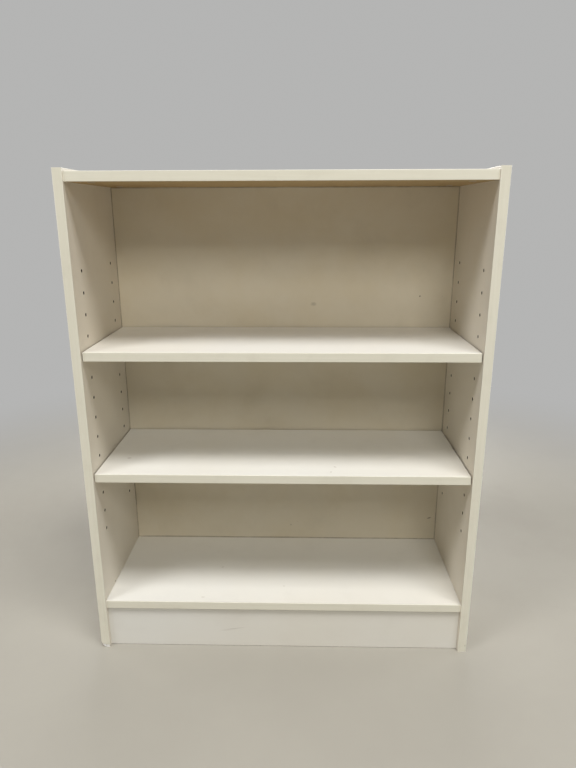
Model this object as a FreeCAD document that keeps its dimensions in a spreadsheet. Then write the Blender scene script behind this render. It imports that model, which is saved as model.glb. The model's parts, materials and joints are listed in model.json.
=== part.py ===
"""Low open bookcase of white melamine board with two shelves on pins.

The frame is in millimetres: X runs across the width, the open front faces -Y, Z is up, and the
origin is at the centre of the footprint on the floor. Two sides hold a top panel, a bottom shelf
and a plinth with cams, bolts and dowels, a thin back is nailed into rebates, and two loose
shelves rest on pins pushed into rows of holes.
"""
import FreeCAD
import Part
import Sketcher

import os

SIZES = {
    # Overall
    "width": 800.0,
    "depth": 280.0,
    "height": 1000.0,
    # Boards and the strips on their edges
    "board_thickness": 18.0,
    "shelf_thickness": 18.0,
    "back_thickness": 3.0,
    "band_thickness": 1.0,
    "band_round": 0.8,
    # Carcass: drop of the top panel below the sides, floor to the bottom shelf, setbacks
    "top_drop": 5.5,
    "plinth_top": 97.5,
    "plinth_clearance": 0.5,
    "plinth_recess": 10.0,
    "fixed_recess": 4.0,
    "rebate_depth": 8.0,
    "rebate_width": 9.0,
    "back_edge_gap": 0.5,
    # Loose shelves
    "shelf_recess": 6.0,
    "shelf_end_gap": 2.0,
    "shelf_back_gap": 2.0,
    # Rows of pin holes, and the hole from the lowest that each shelf uses
    "hole_diameter": 5.0,
    "hole_depth": 11.0,
    "hole_pitch": 42.3,
    "hole_count": 14,
    "hole_lowest": 267.0,
    "front_row_inset": 50.0,
    "rear_row_inset": 44.0,
    "upper_shelf_step": 9,
    "lower_shelf_step": 3,
    # Shelf pins
    "pin_shank_length": 9.0,
    "pin_flange_diameter": 9.0,
    "pin_flange_thickness": 1.2,
    "tongue_width": 7.6,
    "tongue_length": 10.0,
    "tongue_thickness": 2.6,
    "tongue_rise": 1.1,
    # Cams
    "cam_diameter": 15.0,
    "cam_height": 12.5,
    "cam_reach": 34.0,
    "cam_inset": 45.0,
    "cam_slot_floor": 5.2,
    "cross_length": 8.0,
    "cross_width": 1.4,
    "cross_depth": 2.5,
    # Cam bolts
    "bolt_thread_diameter": 5.0,
    "bolt_thread_length": 11.0,
    "bolt_shank_diameter": 6.0,
    "bolt_neck_diameter": 4.0,
    "bolt_neck_length": 4.0,
    "bolt_head_diameter": 6.6,
    "bolt_head_length": 4.0,
    # Dowels
    "dowel_diameter": 8.0,
    "dowel_in_side": 11.0,
    "dowel_in_panel": 20.0,
    "dowel_chamfer": 1.0,
    "dowel_inset": 80.0,
    "plinth_dowel_inset": 24.0,
    # Nails
    "nail_diameter": 1.6,
    "nail_length": 20.0,
    "nail_head_diameter": 4.0,
    "nail_head_thickness": 0.8,
    "side_nail_count": 9,
    "side_nail_inset": 50.0,
    "row_nail_count": 7,
    "row_nail_inset": 60.0,
    # Room round a fitting in its bore, room past its end, and how far a cut runs past a face
    "fit_clearance": 0.1,
    "bore_end_gap": 1.0,
    "overrun": 5.0,
}

# Places and sizes worked out from the sheet, as expressions
FRONT = "(-sizes.depth / 2)"
INSIDE_WIDTH = "(sizes.width - 2 * sizes.board_thickness)"
INSIDE_HALF = f"({INSIDE_WIDTH} / 2)"
BACK_FACE = "(sizes.depth / 2 - sizes.rebate_depth)"
TOP_FACE = "(sizes.height - sizes.top_drop)"
TOP_UNDERSIDE = f"({TOP_FACE} - sizes.board_thickness)"
FIXED_FRONT = f"({FRONT} + sizes.fixed_recess + sizes.band_thickness)"
FIXED_DEPTH = f"({BACK_FACE} - {FIXED_FRONT})"
SIDE_FRONT = f"({FRONT} + sizes.band_thickness)"
SIDE_DEPTH = "(sizes.depth - sizes.band_thickness)"
SIDE_HEIGHT = "(sizes.height - sizes.band_thickness)"
SHOULDER = f"({BACK_FACE} - {SIDE_FRONT})"
SHELF_FRONT = f"({FRONT} + sizes.shelf_recess + sizes.band_thickness)"
SHELF_DEPTH = f"({BACK_FACE} - sizes.shelf_back_gap - {SHELF_FRONT})"
SHELF_LENGTH = f"({INSIDE_WIDTH} - 2 * sizes.shelf_end_gap)"
BACK_WIDTH = f"({INSIDE_WIDTH} + 2 * (sizes.rebate_width - sizes.back_edge_gap))"
BACK_HEIGHT = f"({TOP_FACE} - sizes.plinth_top)"
FRONT_ROW = f"({FRONT} + sizes.front_row_inset)"
REAR_ROW = f"({BACK_FACE} - sizes.rear_row_inset)"
HALF_BOARD = "(sizes.board_thickness / 2)"
CAM_SPACING = f"({FIXED_DEPTH} - 2 * sizes.cam_inset)"
DOWEL_SPACING = f"({FIXED_DEPTH} - 2 * sizes.dowel_inset)"
DOWEL_BORE = "(sizes.dowel_diameter / 2 + sizes.fit_clearance)"
BOLT_BORE = "(sizes.bolt_head_diameter / 2 + sizes.fit_clearance)"
CAM_BORE = "(sizes.cam_diameter / 2 + sizes.fit_clearance)"
PLINTH_HEIGHT = "(sizes.plinth_top - sizes.plinth_clearance)"
PLINTH_DOWEL_SPACING = f"({PLINTH_HEIGHT} - 2 * sizes.plinth_dowel_inset)"
NAIL_BORE = "(sizes.nail_diameter / 2 + sizes.fit_clearance)"
NAIL_GRIP = "(sizes.nail_length - sizes.back_thickness)"
SIDE_NAIL_X = f"({INSIDE_HALF} + sizes.rebate_width / 2)"
SIDE_NAIL_SPAN = f"({BACK_HEIGHT} - 2 * sizes.side_nail_inset)"
ROW_NAIL_SPAN = f"({INSIDE_WIDTH} - 2 * sizes.row_nail_inset)"

UPWARD = FreeCAD.Vector(0, 0, 1)
FORWARD = FreeCAD.Vector(0, -1, 0)
HALF_TURN_DEGREES = 180
ORIGIN_INDEX = (-1, 1)
H_AXIS_INDEX = -1
V_AXIS_INDEX = -2

doc = FreeCAD.newDocument("bookcase")
sheet = doc.addObject("Spreadsheet::Sheet", "sizes")
for row, (alias, value) in enumerate(SIZES.items(), start=1):
    sheet.set(f"A{row}", alias)
    sheet.set(f"B{row}", str(value))
    sheet.setAlias(f"B{row}", alias)
doc.recompute()

parts = []


def number(expression):
    """The present value of an expression, for drawing a sketch near its final shape."""
    return float(sheet.evalExpression(expression))


def new_body(label, x="0", y="0", z="0", turned=False):
    """A body at a place given by expressions, turned half round Z for the right-hand fittings."""
    body = doc.addObject("PartDesign::Body", label)
    body.Label = label
    body.AllowCompound = True
    if turned:
        body.Placement = FreeCAD.Placement(FreeCAD.Vector(), FreeCAD.Rotation(UPWARD, HALF_TURN_DEGREES))
    body.setExpression("Placement.Base.x", x)
    body.setExpression("Placement.Base.y", y)
    body.setExpression("Placement.Base.z", z)
    parts.append(body)
    return body


def origin_of(body, role):
    """The plane or axis of the body's own origin that has this role."""
    return next(item for item in body.Origin.OriginFeatures if item.Role == role)


def new_sketch(body, plane, offset="0"):
    """A sketch on one of the body's origin planes, moved along that plane's normal."""
    sketch = body.newObject("Sketcher::SketchObject", f"{body.Label}_sketch")
    sketch.AttachmentSupport = [(origin_of(body, plane), "")]
    sketch.MapMode = "FlatFace"
    sketch.setExpression("AttachmentOffset.Base.z", offset)
    return sketch


def pin_point(sketch, geometry, point, x, y):
    """Tie a point of the sketch to its two coordinates."""
    for kind, axis, value in (("DistanceX", V_AXIS_INDEX, x), ("DistanceY", H_AXIS_INDEX, y)):
        if value == "0":
            sketch.addConstraint(Sketcher.Constraint("PointOnObject", geometry, point, axis))
            continue
        constraint = Sketcher.Constraint(kind, *ORIGIN_INDEX, geometry, point, number(value))
        index = sketch.addConstraint(constraint)
        sketch.setExpression(f"Constraints[{index}]", value)


def draw_outline(sketch, points):
    """A closed outline of straight lines through points given as pairs of expressions."""
    corners = [FreeCAD.Vector(number(x), number(y), 0) for x, y in points]
    first = sketch.GeometryCount
    for start, end in zip(corners, corners[1:] + corners[:1]):
        sketch.addGeometry(Part.LineSegment(start, end))
    for index, (x, y) in enumerate(points):
        line = first + index
        previous = first + (index - 1) % len(points)
        sketch.addConstraint(Sketcher.Constraint("Coincident", previous, 2, line, 1))
        pin_point(sketch, line, 1, x, y)


def draw_rectangle(sketch, left, bottom, right, top):
    """A rectangle between two corners given as expressions."""
    draw_outline(sketch, [(left, bottom), (right, bottom), (right, top), (left, top)])


def draw_circles(sketch, radius, centres):
    """Circles of one radius at centres given as pairs of expressions."""
    for x, y in centres:
        centre = FreeCAD.Vector(number(x), number(y), 0)
        circle = sketch.addGeometry(Part.Circle(centre, UPWARD, number(radius)))
        pin_point(sketch, circle, 3, x, y)
        index = sketch.addConstraint(Sketcher.Constraint("Radius", circle, number(radius)))
        sketch.setExpression(f"Constraints[{index}]", radius)


def extrude(body, kind, sketch, length, backwards=False):
    """A Pad or a Pocket of the sketch."""
    feature = body.newObject(f"PartDesign::{kind}", f"{body.Label}_{kind.lower()}")
    feature.Profile = sketch
    feature.setExpression("Length", length)
    feature.Reversed = backwards
    doc.recompute()
    return feature


def repeat(body, features, axis, span, count):
    """Copies of the features, evenly spaced along an axis of the body over a span."""
    pattern = body.newObject("PartDesign::LinearPattern", f"{body.Label}_row")
    pattern.Originals = features
    pattern.Direction = (origin_of(body, axis), [""])
    pattern.setExpression("Length", span)
    pattern.setExpression("Occurrences", count)
    body.Tip = pattern
    doc.recompute()
    return pattern


def mirror(body, features):
    """The features again on the other end of a board that is centred on the body's origin."""
    mirrored = body.newObject("PartDesign::Mirrored", f"{body.Label}_other_end")
    mirrored.Originals = features
    mirrored.MirrorPlane = (origin_of(body, "YZ_Plane"), [""])
    body.Tip = mirrored
    doc.recompute()


def turn(body, plane, axis, points):
    """A turned piece: a half profile spun about an axis of its sketch."""
    sketch = new_sketch(body, plane)
    draw_outline(sketch, points)
    spun = body.newObject("PartDesign::Revolution", f"{body.Label}_turned")
    spun.Profile = sketch
    spun.ReferenceAxis = (sketch, [axis])
    doc.recompute()
    return spun


def side_panel(label, sign):
    """A side with its rebate, rows of pin holes and bores for fittings. Its inner face is local X = 0."""
    outwards_is_left = sign < 0
    body = new_body(label, f"{sign} * {INSIDE_HALF}", SIDE_FRONT)
    sketch = new_sketch(body, "YZ_Plane")
    draw_rectangle(sketch, "0", "0", SIDE_DEPTH, SIDE_HEIGHT)
    extrude(body, "Pad", sketch, "sizes.board_thickness", outwards_is_left)

    def bore(radius, centres, depth):
        holes = new_sketch(body, "YZ_Plane")
        draw_circles(holes, radius, centres)
        return extrude(body, "Pocket", holes, depth, not outwards_is_left)

    rebate = new_sketch(body, "YZ_Plane")
    rebate_rear = f"({SIDE_DEPTH} + sizes.overrun)"
    rebate_top = f"({TOP_FACE} + sizes.back_edge_gap)"
    draw_rectangle(rebate, SHOULDER, "-sizes.overrun", rebate_rear, rebate_top)
    extrude(body, "Pocket", rebate, "sizes.rebate_width", not outwards_is_left)

    rows = [f"({row} - {SIDE_FRONT})" for row in (FRONT_ROW, REAR_ROW)]
    lowest_holes = [(row, "sizes.hole_lowest") for row in rows]
    lowest = bore("sizes.hole_diameter / 2", lowest_holes, "sizes.hole_depth")
    repeat(body, [lowest], "Z_Axis", "(sizes.hole_count - 1) * sizes.hole_pitch", "sizes.hole_count")

    heights = (f"({TOP_UNDERSIDE} + {HALF_BOARD})", f"(sizes.plinth_top + {HALF_BOARD})")
    fixed = f"({FIXED_FRONT} - {SIDE_FRONT})"
    bolts = (f"({fixed} + sizes.cam_inset)", f"({fixed} + {FIXED_DEPTH} - sizes.cam_inset)")
    thread_bore = "(sizes.bolt_thread_diameter / 2 + sizes.fit_clearance)"
    thread_depth = "(sizes.bolt_thread_length + sizes.bore_end_gap)"
    bore(thread_bore, [(y, z) for y in bolts for z in heights], thread_depth)

    dowels = (f"({fixed} + sizes.dowel_inset)", f"({fixed} + {FIXED_DEPTH} - sizes.dowel_inset)")
    plinth_y = f"({FRONT} + sizes.plinth_recess + {HALF_BOARD} - {SIDE_FRONT})"
    plinth_low = "(sizes.plinth_clearance + sizes.plinth_dowel_inset)"
    plinth_dowels = [(plinth_y, plinth_low), (plinth_y, f"({plinth_low} + {PLINTH_DOWEL_SPACING})")]
    dowel_depth = "(sizes.dowel_in_side + sizes.bore_end_gap)"
    bore(DOWEL_BORE, [(y, z) for y in dowels for z in heights] + plinth_dowels, dowel_depth)

    nail = new_sketch(body, "XZ_Plane", f"-{SHOULDER}")
    first_nail = "(sizes.plinth_top + sizes.side_nail_inset)"
    draw_circles(nail, NAIL_BORE, [(f"{sign} * sizes.rebate_width / 2", first_nail)])
    pilot = extrude(body, "Pocket", nail, f"({NAIL_GRIP} + sizes.bore_end_gap)", True)
    repeat(body, [pilot], "Z_Axis", SIDE_NAIL_SPAN, "sizes.side_nail_count")


def fixed_board(label, underside):
    """The top panel or the bottom shelf, with bores for its fittings and for the nails of the back."""
    body = new_body(label, "0", FIXED_FRONT, underside)
    sketch = new_sketch(body, "XY_Plane")
    draw_rectangle(sketch, f"-{INSIDE_HALF}", "0", INSIDE_HALF, FIXED_DEPTH)
    extrude(body, "Pad", sketch, "sizes.board_thickness")

    cam_rows = ("sizes.cam_inset", f"({FIXED_DEPTH} - sizes.cam_inset)")
    cam_holes = new_sketch(body, "XY_Plane")
    cam_x = f"(sizes.cam_reach - {INSIDE_HALF})"
    draw_circles(cam_holes, CAM_BORE, [(cam_x, y) for y in cam_rows])
    cam_bores = extrude(body, "Pocket", cam_holes, "(sizes.cam_height + sizes.fit_clearance)", True)

    bolt_holes = new_sketch(body, "YZ_Plane", f"-{INSIDE_HALF}")
    draw_circles(bolt_holes, BOLT_BORE, [(y, HALF_BOARD) for y in cam_rows])
    bolt_bores = extrude(body, "Pocket", bolt_holes, "sizes.cam_reach", True)

    dowel_holes = new_sketch(body, "YZ_Plane", f"-{INSIDE_HALF}")
    dowel_rows = ("sizes.dowel_inset", f"({FIXED_DEPTH} - sizes.dowel_inset)")
    draw_circles(dowel_holes, DOWEL_BORE, [(y, HALF_BOARD) for y in dowel_rows])
    dowel_bores = extrude(body, "Pocket", dowel_holes, "(sizes.dowel_in_panel + sizes.bore_end_gap)", True)
    mirror(body, [cam_bores, bolt_bores, dowel_bores])

    nail = new_sketch(body, "XZ_Plane", f"-{FIXED_DEPTH}")
    draw_circles(nail, NAIL_BORE, [(f"(sizes.row_nail_inset - {INSIDE_HALF})", HALF_BOARD)])
    pilot = extrude(body, "Pocket", nail, f"({NAIL_GRIP} + sizes.bore_end_gap)", True)
    repeat(body, [pilot], "X_Axis", ROW_NAIL_SPAN, "sizes.row_nail_count")


def plinth():
    """The kick board under the bottom shelf, doweled to the sides."""
    body = new_body("plinth", "0", f"({FRONT} + sizes.plinth_recess)", "sizes.plinth_clearance")
    sketch = new_sketch(body, "XY_Plane")
    draw_rectangle(sketch, f"-{INSIDE_HALF}", "0", INSIDE_HALF, "sizes.board_thickness")
    extrude(body, "Pad", sketch, PLINTH_HEIGHT)
    dowel_holes = new_sketch(body, "YZ_Plane", f"-{INSIDE_HALF}")
    heights = ("sizes.plinth_dowel_inset", f"({PLINTH_HEIGHT} - sizes.plinth_dowel_inset)")
    draw_circles(dowel_holes, DOWEL_BORE, [(HALF_BOARD, z) for z in heights])
    bores = extrude(body, "Pocket", dowel_holes, "(sizes.dowel_in_panel + sizes.bore_end_gap)", True)
    mirror(body, [bores])


def back_panel():
    """The thin back, which lies in the rebates and over the rear edges of the two fixed boards."""
    body = new_body("back_panel", "0", BACK_FACE, "sizes.plinth_top")
    sketch = new_sketch(body, "XZ_Plane")
    draw_rectangle(sketch, f"-{BACK_WIDTH} / 2", "0", f"{BACK_WIDTH} / 2", BACK_HEIGHT)
    extrude(body, "Pad", sketch, "sizes.back_thickness", True)
    through = "(sizes.back_thickness + sizes.overrun)"

    columns = new_sketch(body, "XZ_Plane")
    first = "sizes.side_nail_inset"
    draw_circles(columns, NAIL_BORE, [(f"-{SIDE_NAIL_X}", first), (SIDE_NAIL_X, first)])
    first_pair = extrude(body, "Pocket", columns, through)
    repeat(body, [first_pair], "Z_Axis", SIDE_NAIL_SPAN, "sizes.side_nail_count")

    rows = new_sketch(body, "XZ_Plane")
    start = f"(sizes.row_nail_inset - {INSIDE_HALF})"
    draw_circles(rows, NAIL_BORE, [(start, HALF_BOARD), (start, f"({BACK_HEIGHT} - {HALF_BOARD})")])
    end_pair = extrude(body, "Pocket", rows, through)
    repeat(body, [end_pair], "X_Axis", ROW_NAIL_SPAN, "sizes.row_nail_count")


def pin_height(step):
    """The height of the pin hole that a shelf uses, counted from the lowest."""
    return f"(sizes.hole_lowest + {step} * sizes.hole_pitch)"


def shelf_underside(step):
    """The underside of a shelf: the flat tongues of its pins."""
    return f"({pin_height(step)} + sizes.tongue_rise)"


def loose_shelf(label, step):
    """A shelf board that lies on its four pins with room at its ends and its back."""
    body = new_body(label, "0", SHELF_FRONT, shelf_underside(step))
    sketch = new_sketch(body, "XY_Plane")
    draw_rectangle(sketch, f"-{SHELF_LENGTH} / 2", "0", f"{SHELF_LENGTH} / 2", SHELF_DEPTH)
    extrude(body, "Pad", sketch, "sizes.shelf_thickness")


def edge_band(label, plane, place, corners, length, out, backwards=False):
    """A strip padded along the edge of a board, with its two outer long edges rounded.

    The corners are those of its section on the plane, and out points away from the board's edge.
    """
    body = new_body(label, *place)
    sketch = new_sketch(body, plane)
    draw_rectangle(sketch, *corners)
    pad = extrude(body, "Pad", sketch, length, backwards)
    half_band = number("sizes.band_thickness / 2")
    outer_edges = []
    for index, edge in enumerate(pad.Shape.Edges, start=1):
        runs_along = abs(edge.Length - number(length)) < half_band
        if runs_along and edge.CenterOfMass.dot(out) > half_band:
            outer_edges.append(f"Edge{index}")
    rounded = body.newObject("PartDesign::Fillet", f"{label}_round")
    rounded.Base = (pad, outer_edges)
    rounded.setExpression("Radius", "sizes.band_round")
    doc.recompute()


def shelf_pin(label, turned, x, y, step):
    """A push-in pin: shank in the hole, flange on the side, flat tongue under the shelf."""
    body = new_body(label, x, y, pin_height(step), turned)
    shank = "(sizes.hole_diameter / 2 - sizes.fit_clearance)"
    flange = "(sizes.pin_flange_diameter / 2)"
    turn(body, "XZ_Plane", "H_Axis", [
        ("-sizes.pin_shank_length", "0"),
        ("sizes.pin_flange_thickness", "0"),
        ("sizes.pin_flange_thickness", flange),
        ("0", flange),
        ("0", shank),
        ("-sizes.pin_shank_length", shank),
    ])
    tongue = new_sketch(body, "YZ_Plane")
    draw_rectangle(tongue, "-sizes.tongue_width / 2", "(sizes.tongue_rise - sizes.tongue_thickness)",
                   "sizes.tongue_width / 2", "sizes.tongue_rise")
    extrude(body, "Pad", tongue, "(sizes.pin_flange_thickness + sizes.tongue_length)")


def cam_bolts(label, turned, x, y, z):
    """Two bolts whose threads sit in the side and whose heads reach into the cams."""
    body = new_body(label, x, y, z, turned)
    thread = "(sizes.bolt_thread_diameter / 2)"
    shank = "(sizes.bolt_shank_diameter / 2)"
    neck = "(sizes.bolt_neck_diameter / 2)"
    head = "(sizes.bolt_head_diameter / 2)"
    head_start = "(sizes.cam_reach - sizes.bolt_head_length / 2)"
    neck_start = f"({head_start} - sizes.bolt_neck_length)"
    head_end = f"({head_start} + sizes.bolt_head_length)"
    bolt = turn(body, "XZ_Plane", "H_Axis", [
        ("-sizes.bolt_thread_length", "0"),
        (head_end, "0"),
        (head_end, head),
        (head_start, head),
        (head_start, neck),
        (neck_start, neck),
        (neck_start, shank),
        ("0", shank),
        ("0", thread),
        ("-sizes.bolt_thread_length", thread),
    ])
    repeat(body, [bolt], "Y_Axis", CAM_SPACING, "2")


def cams(label, turned, x, y, z):
    """Two cam discs, each slotted for the bolt's head and with a cross recess in its lower face."""
    body = new_body(label, x, y, z, turned)
    disc = new_sketch(body, "XY_Plane")
    radius = "(sizes.cam_diameter / 2)"
    draw_circles(disc, radius, [("0", "0")])
    cam = extrude(body, "Pad", disc, "sizes.cam_height")

    slot = new_sketch(body, "XY_Plane", "sizes.cam_slot_floor")
    slot_half = "(sizes.bolt_head_diameter / 2 + 2 * sizes.fit_clearance)"
    slot_end = "(sizes.bolt_head_length / 2 + sizes.bore_end_gap)"
    draw_rectangle(slot, f"-({radius} + sizes.overrun)", f"-{slot_half}", slot_end, slot_half)
    slot_cut = extrude(body, "Pocket", slot, "sizes.cam_height", True)

    half_length = "(sizes.cross_length / 2)"
    half_width = "(sizes.cross_width / 2)"
    cross = new_sketch(body, "XY_Plane")
    draw_outline(cross, [
        (f"-{half_length}", f"-{half_width}"),
        (f"-{half_width}", f"-{half_width}"),
        (f"-{half_width}", f"-{half_length}"),
        (half_width, f"-{half_length}"),
        (half_width, f"-{half_width}"),
        (half_length, f"-{half_width}"),
        (half_length, half_width),
        (half_width, half_width),
        (half_width, half_length),
        (f"-{half_width}", half_length),
        (f"-{half_width}", half_width),
        (f"-{half_length}", half_width),
    ])
    cross_cut = extrude(body, "Pocket", cross, "sizes.cross_depth", True)
    repeat(body, [cam, slot_cut, cross_cut], "Y_Axis", CAM_SPACING, "2")


def dowels(label, turned, x, y, z, axis, spacing):
    """Two wooden dowels with chamfered ends across the joint of a board and a side."""
    body = new_body(label, x, y, z, turned)
    radius = "(sizes.dowel_diameter / 2)"
    small = f"({radius} - sizes.dowel_chamfer)"
    dowel = turn(body, "XZ_Plane", "H_Axis", [
        ("-sizes.dowel_in_side", "0"),
        ("sizes.dowel_in_panel", "0"),
        ("sizes.dowel_in_panel", small),
        ("(sizes.dowel_in_panel - sizes.dowel_chamfer)", radius),
        ("(sizes.dowel_chamfer - sizes.dowel_in_side)", radius),
        ("-sizes.dowel_in_side", small),
    ])
    repeat(body, [dowel], axis, spacing, "2")


def back_nails(label, x, z, axis, span, count):
    """A row of nails through the back, with their heads on its rear face."""
    body = new_body(label, x, f"({BACK_FACE} + sizes.back_thickness)", z)
    shank = "(sizes.nail_diameter / 2)"
    head = "(sizes.nail_head_diameter / 2)"
    nail = turn(body, "XY_Plane", "V_Axis", [
        ("0", "-sizes.nail_length"),
        (shank, "-sizes.nail_length"),
        (shank, "0"),
        (head, "0"),
        (head, "sizes.nail_head_thickness"),
        ("0", "sizes.nail_head_thickness"),
    ])
    repeat(body, [nail], axis, span, count)


def build_boards():
    """The eight boards."""
    side_panel("left_side_panel", -1)
    side_panel("right_side_panel", 1)
    fixed_board("top_panel", TOP_UNDERSIDE)
    fixed_board("bottom_shelf", "sizes.plinth_top")
    plinth()
    back_panel()
    loose_shelf("upper_shelf", "sizes.upper_shelf_step")
    loose_shelf("lower_shelf", "sizes.lower_shelf_step")


def build_bands():
    """The strips on the front edges and on the top ends of the sides."""
    board = "sizes.board_thickness"
    band = "sizes.band_thickness"
    for hand, sign, low, high in (("left", -1, f"-{board}", "0"), ("right", 1, "0", board)):
        x = f"{sign} * {INSIDE_HALF}"
        front = (x, SIDE_FRONT, "0")
        section = (low, f"-{band}", high, "0")
        edge_band(f"{hand}_side_front_band", "XY_Plane", front, section, "sizes.height", FORWARD)
        top = (x, SIDE_FRONT, SIDE_HEIGHT)
        section = (low, "0", high, band)
        edge_band(f"{hand}_side_top_band", "XZ_Plane", top, section, SIDE_DEPTH, UPWARD, True)
    for label, underside in (("top_panel_band", TOP_UNDERSIDE), ("bottom_shelf_band", "sizes.plinth_top")):
        place = (f"-{INSIDE_HALF}", FIXED_FRONT, underside)
        edge_band(label, "YZ_Plane", place, (f"-{band}", "0", "0", board), INSIDE_WIDTH, FORWARD)
    for name in ("upper", "lower"):
        place = (f"-{SHELF_LENGTH} / 2", SHELF_FRONT, shelf_underside(f"sizes.{name}_shelf_step"))
        section = (f"-{band}", "0", "0", "sizes.shelf_thickness")
        edge_band(f"{name}_shelf_band", "YZ_Plane", place, section, SHELF_LENGTH, FORWARD)


def build_fittings():
    """Pins, cams, bolts and dowels on both hands, and the nails of the back."""
    cam_front = f"({FIXED_FRONT} + sizes.cam_inset)"
    dowel_front = f"({FIXED_FRONT} + sizes.dowel_inset)"
    plinth_y = f"({FRONT} + sizes.plinth_recess + {HALF_BOARD})"
    plinth_z = "(sizes.plinth_clearance + sizes.plinth_dowel_inset)"
    for hand, sign in (("left", -1), ("right", 1)):
        turned = hand == "right"
        face = f"{sign} * {INSIDE_HALF}"
        cam_x = f"{sign} * ({INSIDE_HALF} - sizes.cam_reach)"
        cam_y = f"({cam_front} + {CAM_SPACING})" if turned else cam_front
        dowel_y = f"({dowel_front} + {DOWEL_SPACING})" if turned else dowel_front
        for name in ("upper", "lower"):
            for row, y in (("front", FRONT_ROW), ("rear", REAR_ROW)):
                shelf_pin(f"{name}_{hand}_{row}_pin", turned, face, y, f"sizes.{name}_shelf_step")
        for name, underside in (("top", TOP_UNDERSIDE), ("bottom", "sizes.plinth_top")):
            middle = f"({underside} + {HALF_BOARD})"
            cam_bolts(f"{name}_{hand}_cam_bolts", turned, face, cam_y, middle)
            cams(f"{name}_{hand}_cams", turned, cam_x, cam_y, underside)
            dowels(f"{name}_{hand}_dowels", turned, face, dowel_y, middle, "Y_Axis", DOWEL_SPACING)
        dowels(f"plinth_{hand}_dowels", turned, face, plinth_y, plinth_z, "Z_Axis", PLINTH_DOWEL_SPACING)
        nail_x = f"{sign} * {SIDE_NAIL_X}"
        nail_z = "(sizes.plinth_top + sizes.side_nail_inset)"
        back_nails(f"{hand}_back_nails", nail_x, nail_z, "Z_Axis", SIDE_NAIL_SPAN, "sizes.side_nail_count")
    for name, underside in (("top", TOP_UNDERSIDE), ("bottom", "sizes.plinth_top")):
        start = f"(sizes.row_nail_inset - {INSIDE_HALF})"
        middle = f"({underside} + {HALF_BOARD})"
        back_nails(f"{name}_back_nails", start, middle, "X_Axis", ROW_NAIL_SPAN, "sizes.row_nail_count")


def check():
    """Stop if a feature failed, a cut removed nothing or a piece has no valid solid."""
    for item in doc.Objects:
        if {"Invalid", "Error"} & set(item.State):
            raise RuntimeError(f"{item.Label} failed: {item.State}")
        if item.TypeId == "PartDesign::Pocket" and item.Shape.Volume >= item.BaseFeature.Shape.Volume:
            raise RuntimeError(f"{item.Label} cuts nothing")
    for body in parts:
        if body.Shape.isNull() or not body.Shape.isValid() or not body.Shape.Solids:
            raise RuntimeError(f"{body.Label} has no valid solid")


build_boards()
build_bands()
build_fittings()
doc.recompute()
check()
os.makedirs("parts", exist_ok=True)
for body in parts:
    body.Shape.exportStep(f"parts/{body.Label}.step")
    print(f"{body.Label}: {len(body.Shape.Solids)} solids, {body.Shape.Volume:.0f} mm3")
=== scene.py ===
"""Low white bookcase: finishes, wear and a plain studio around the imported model.

Lengths are in metres and colours in linear light. X runs across, Y towards the back and Z up.
"""

import json
import logging
import math
import random
import re
from collections.abc import Sequence
from dataclasses import dataclass
from enum import Enum
from functools import partial, reduce
from typing import Any, ClassVar

import bmesh
import bpy
from mathutils import Matrix, Vector


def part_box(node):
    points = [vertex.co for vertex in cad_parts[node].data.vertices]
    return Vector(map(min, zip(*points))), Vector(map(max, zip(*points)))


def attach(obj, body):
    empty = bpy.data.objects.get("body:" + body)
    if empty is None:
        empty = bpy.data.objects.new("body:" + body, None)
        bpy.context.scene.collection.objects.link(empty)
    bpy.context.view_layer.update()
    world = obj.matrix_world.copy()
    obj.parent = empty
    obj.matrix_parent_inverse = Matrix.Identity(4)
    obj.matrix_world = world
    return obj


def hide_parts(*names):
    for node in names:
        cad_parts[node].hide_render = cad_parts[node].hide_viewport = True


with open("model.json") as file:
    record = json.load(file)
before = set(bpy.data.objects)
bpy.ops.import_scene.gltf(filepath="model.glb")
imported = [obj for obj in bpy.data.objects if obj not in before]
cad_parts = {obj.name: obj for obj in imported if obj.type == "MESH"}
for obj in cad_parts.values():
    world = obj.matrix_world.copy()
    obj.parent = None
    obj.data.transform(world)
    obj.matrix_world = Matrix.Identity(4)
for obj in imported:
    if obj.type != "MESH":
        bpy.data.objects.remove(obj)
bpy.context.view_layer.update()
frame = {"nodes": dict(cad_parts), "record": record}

log = logging.getLogger("bookcase")

Colour = tuple[float, float, float]
Triple = tuple[float, float, float]
Span = tuple[float, float]
Extent = tuple[Vector, Vector]
Spot = dict[str, Any]
Object = bpy.types.Object
Material = bpy.types.Material
Socket = bpy.types.NodeSocket
Sockets = dict[str, Socket]

MILLIMETRE = 0.001
HALF = 0.5
QUARTER_TURN = math.pi / 2
WELD_DISTANCE = 1e-6
ON_PLANE = 2e-5
FLAT_ANGLE = math.radians(0.5)
SHARP_ANGLE = math.radians(25.0)
EASE_SEGMENTS = 2
EASE_PROFILE = 0.5
# A face counts as turned along an axis from this share of its normal.
FACING_SHARE = 0.5
TORN_RELIEF = 0.12
WEAR_SEED = 7
CLEAR_OF_BORDER = 1.0
BACKDROP_GREY = (0.46, 0.46, 0.455)
LOW_SPREAD = 75.0
NOWHERE = (0.0, 0.0, 0.0)
EVEN = (1.0, 1.0, 1.0)
RISING = (0.0, 1.0)
FALLING = (1.0, 0.0)
CLOUD_SPAN = (0.35, 0.7)


class Axis(Enum):
    """A direction of the shared frame."""

    ACROSS = 0
    BACK = 1
    UP = 2


# A side of a box: its axis, and whether it is the one at the high end.
BoxSide = tuple[Axis, bool]


class Hand(Enum):
    """The two sides of the bookcase, seen from the front."""

    LEFT = "left"
    RIGHT = "right"

    @property
    def way_in(self) -> float:
        """Gives the direction along X from the middle of the bookcase into this side."""
        return -1.0 if self is Hand.LEFT else 1.0


class Tier(Enum):
    """The two loose shelves."""

    UPPER = "upper"
    LOWER = "lower"


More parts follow.
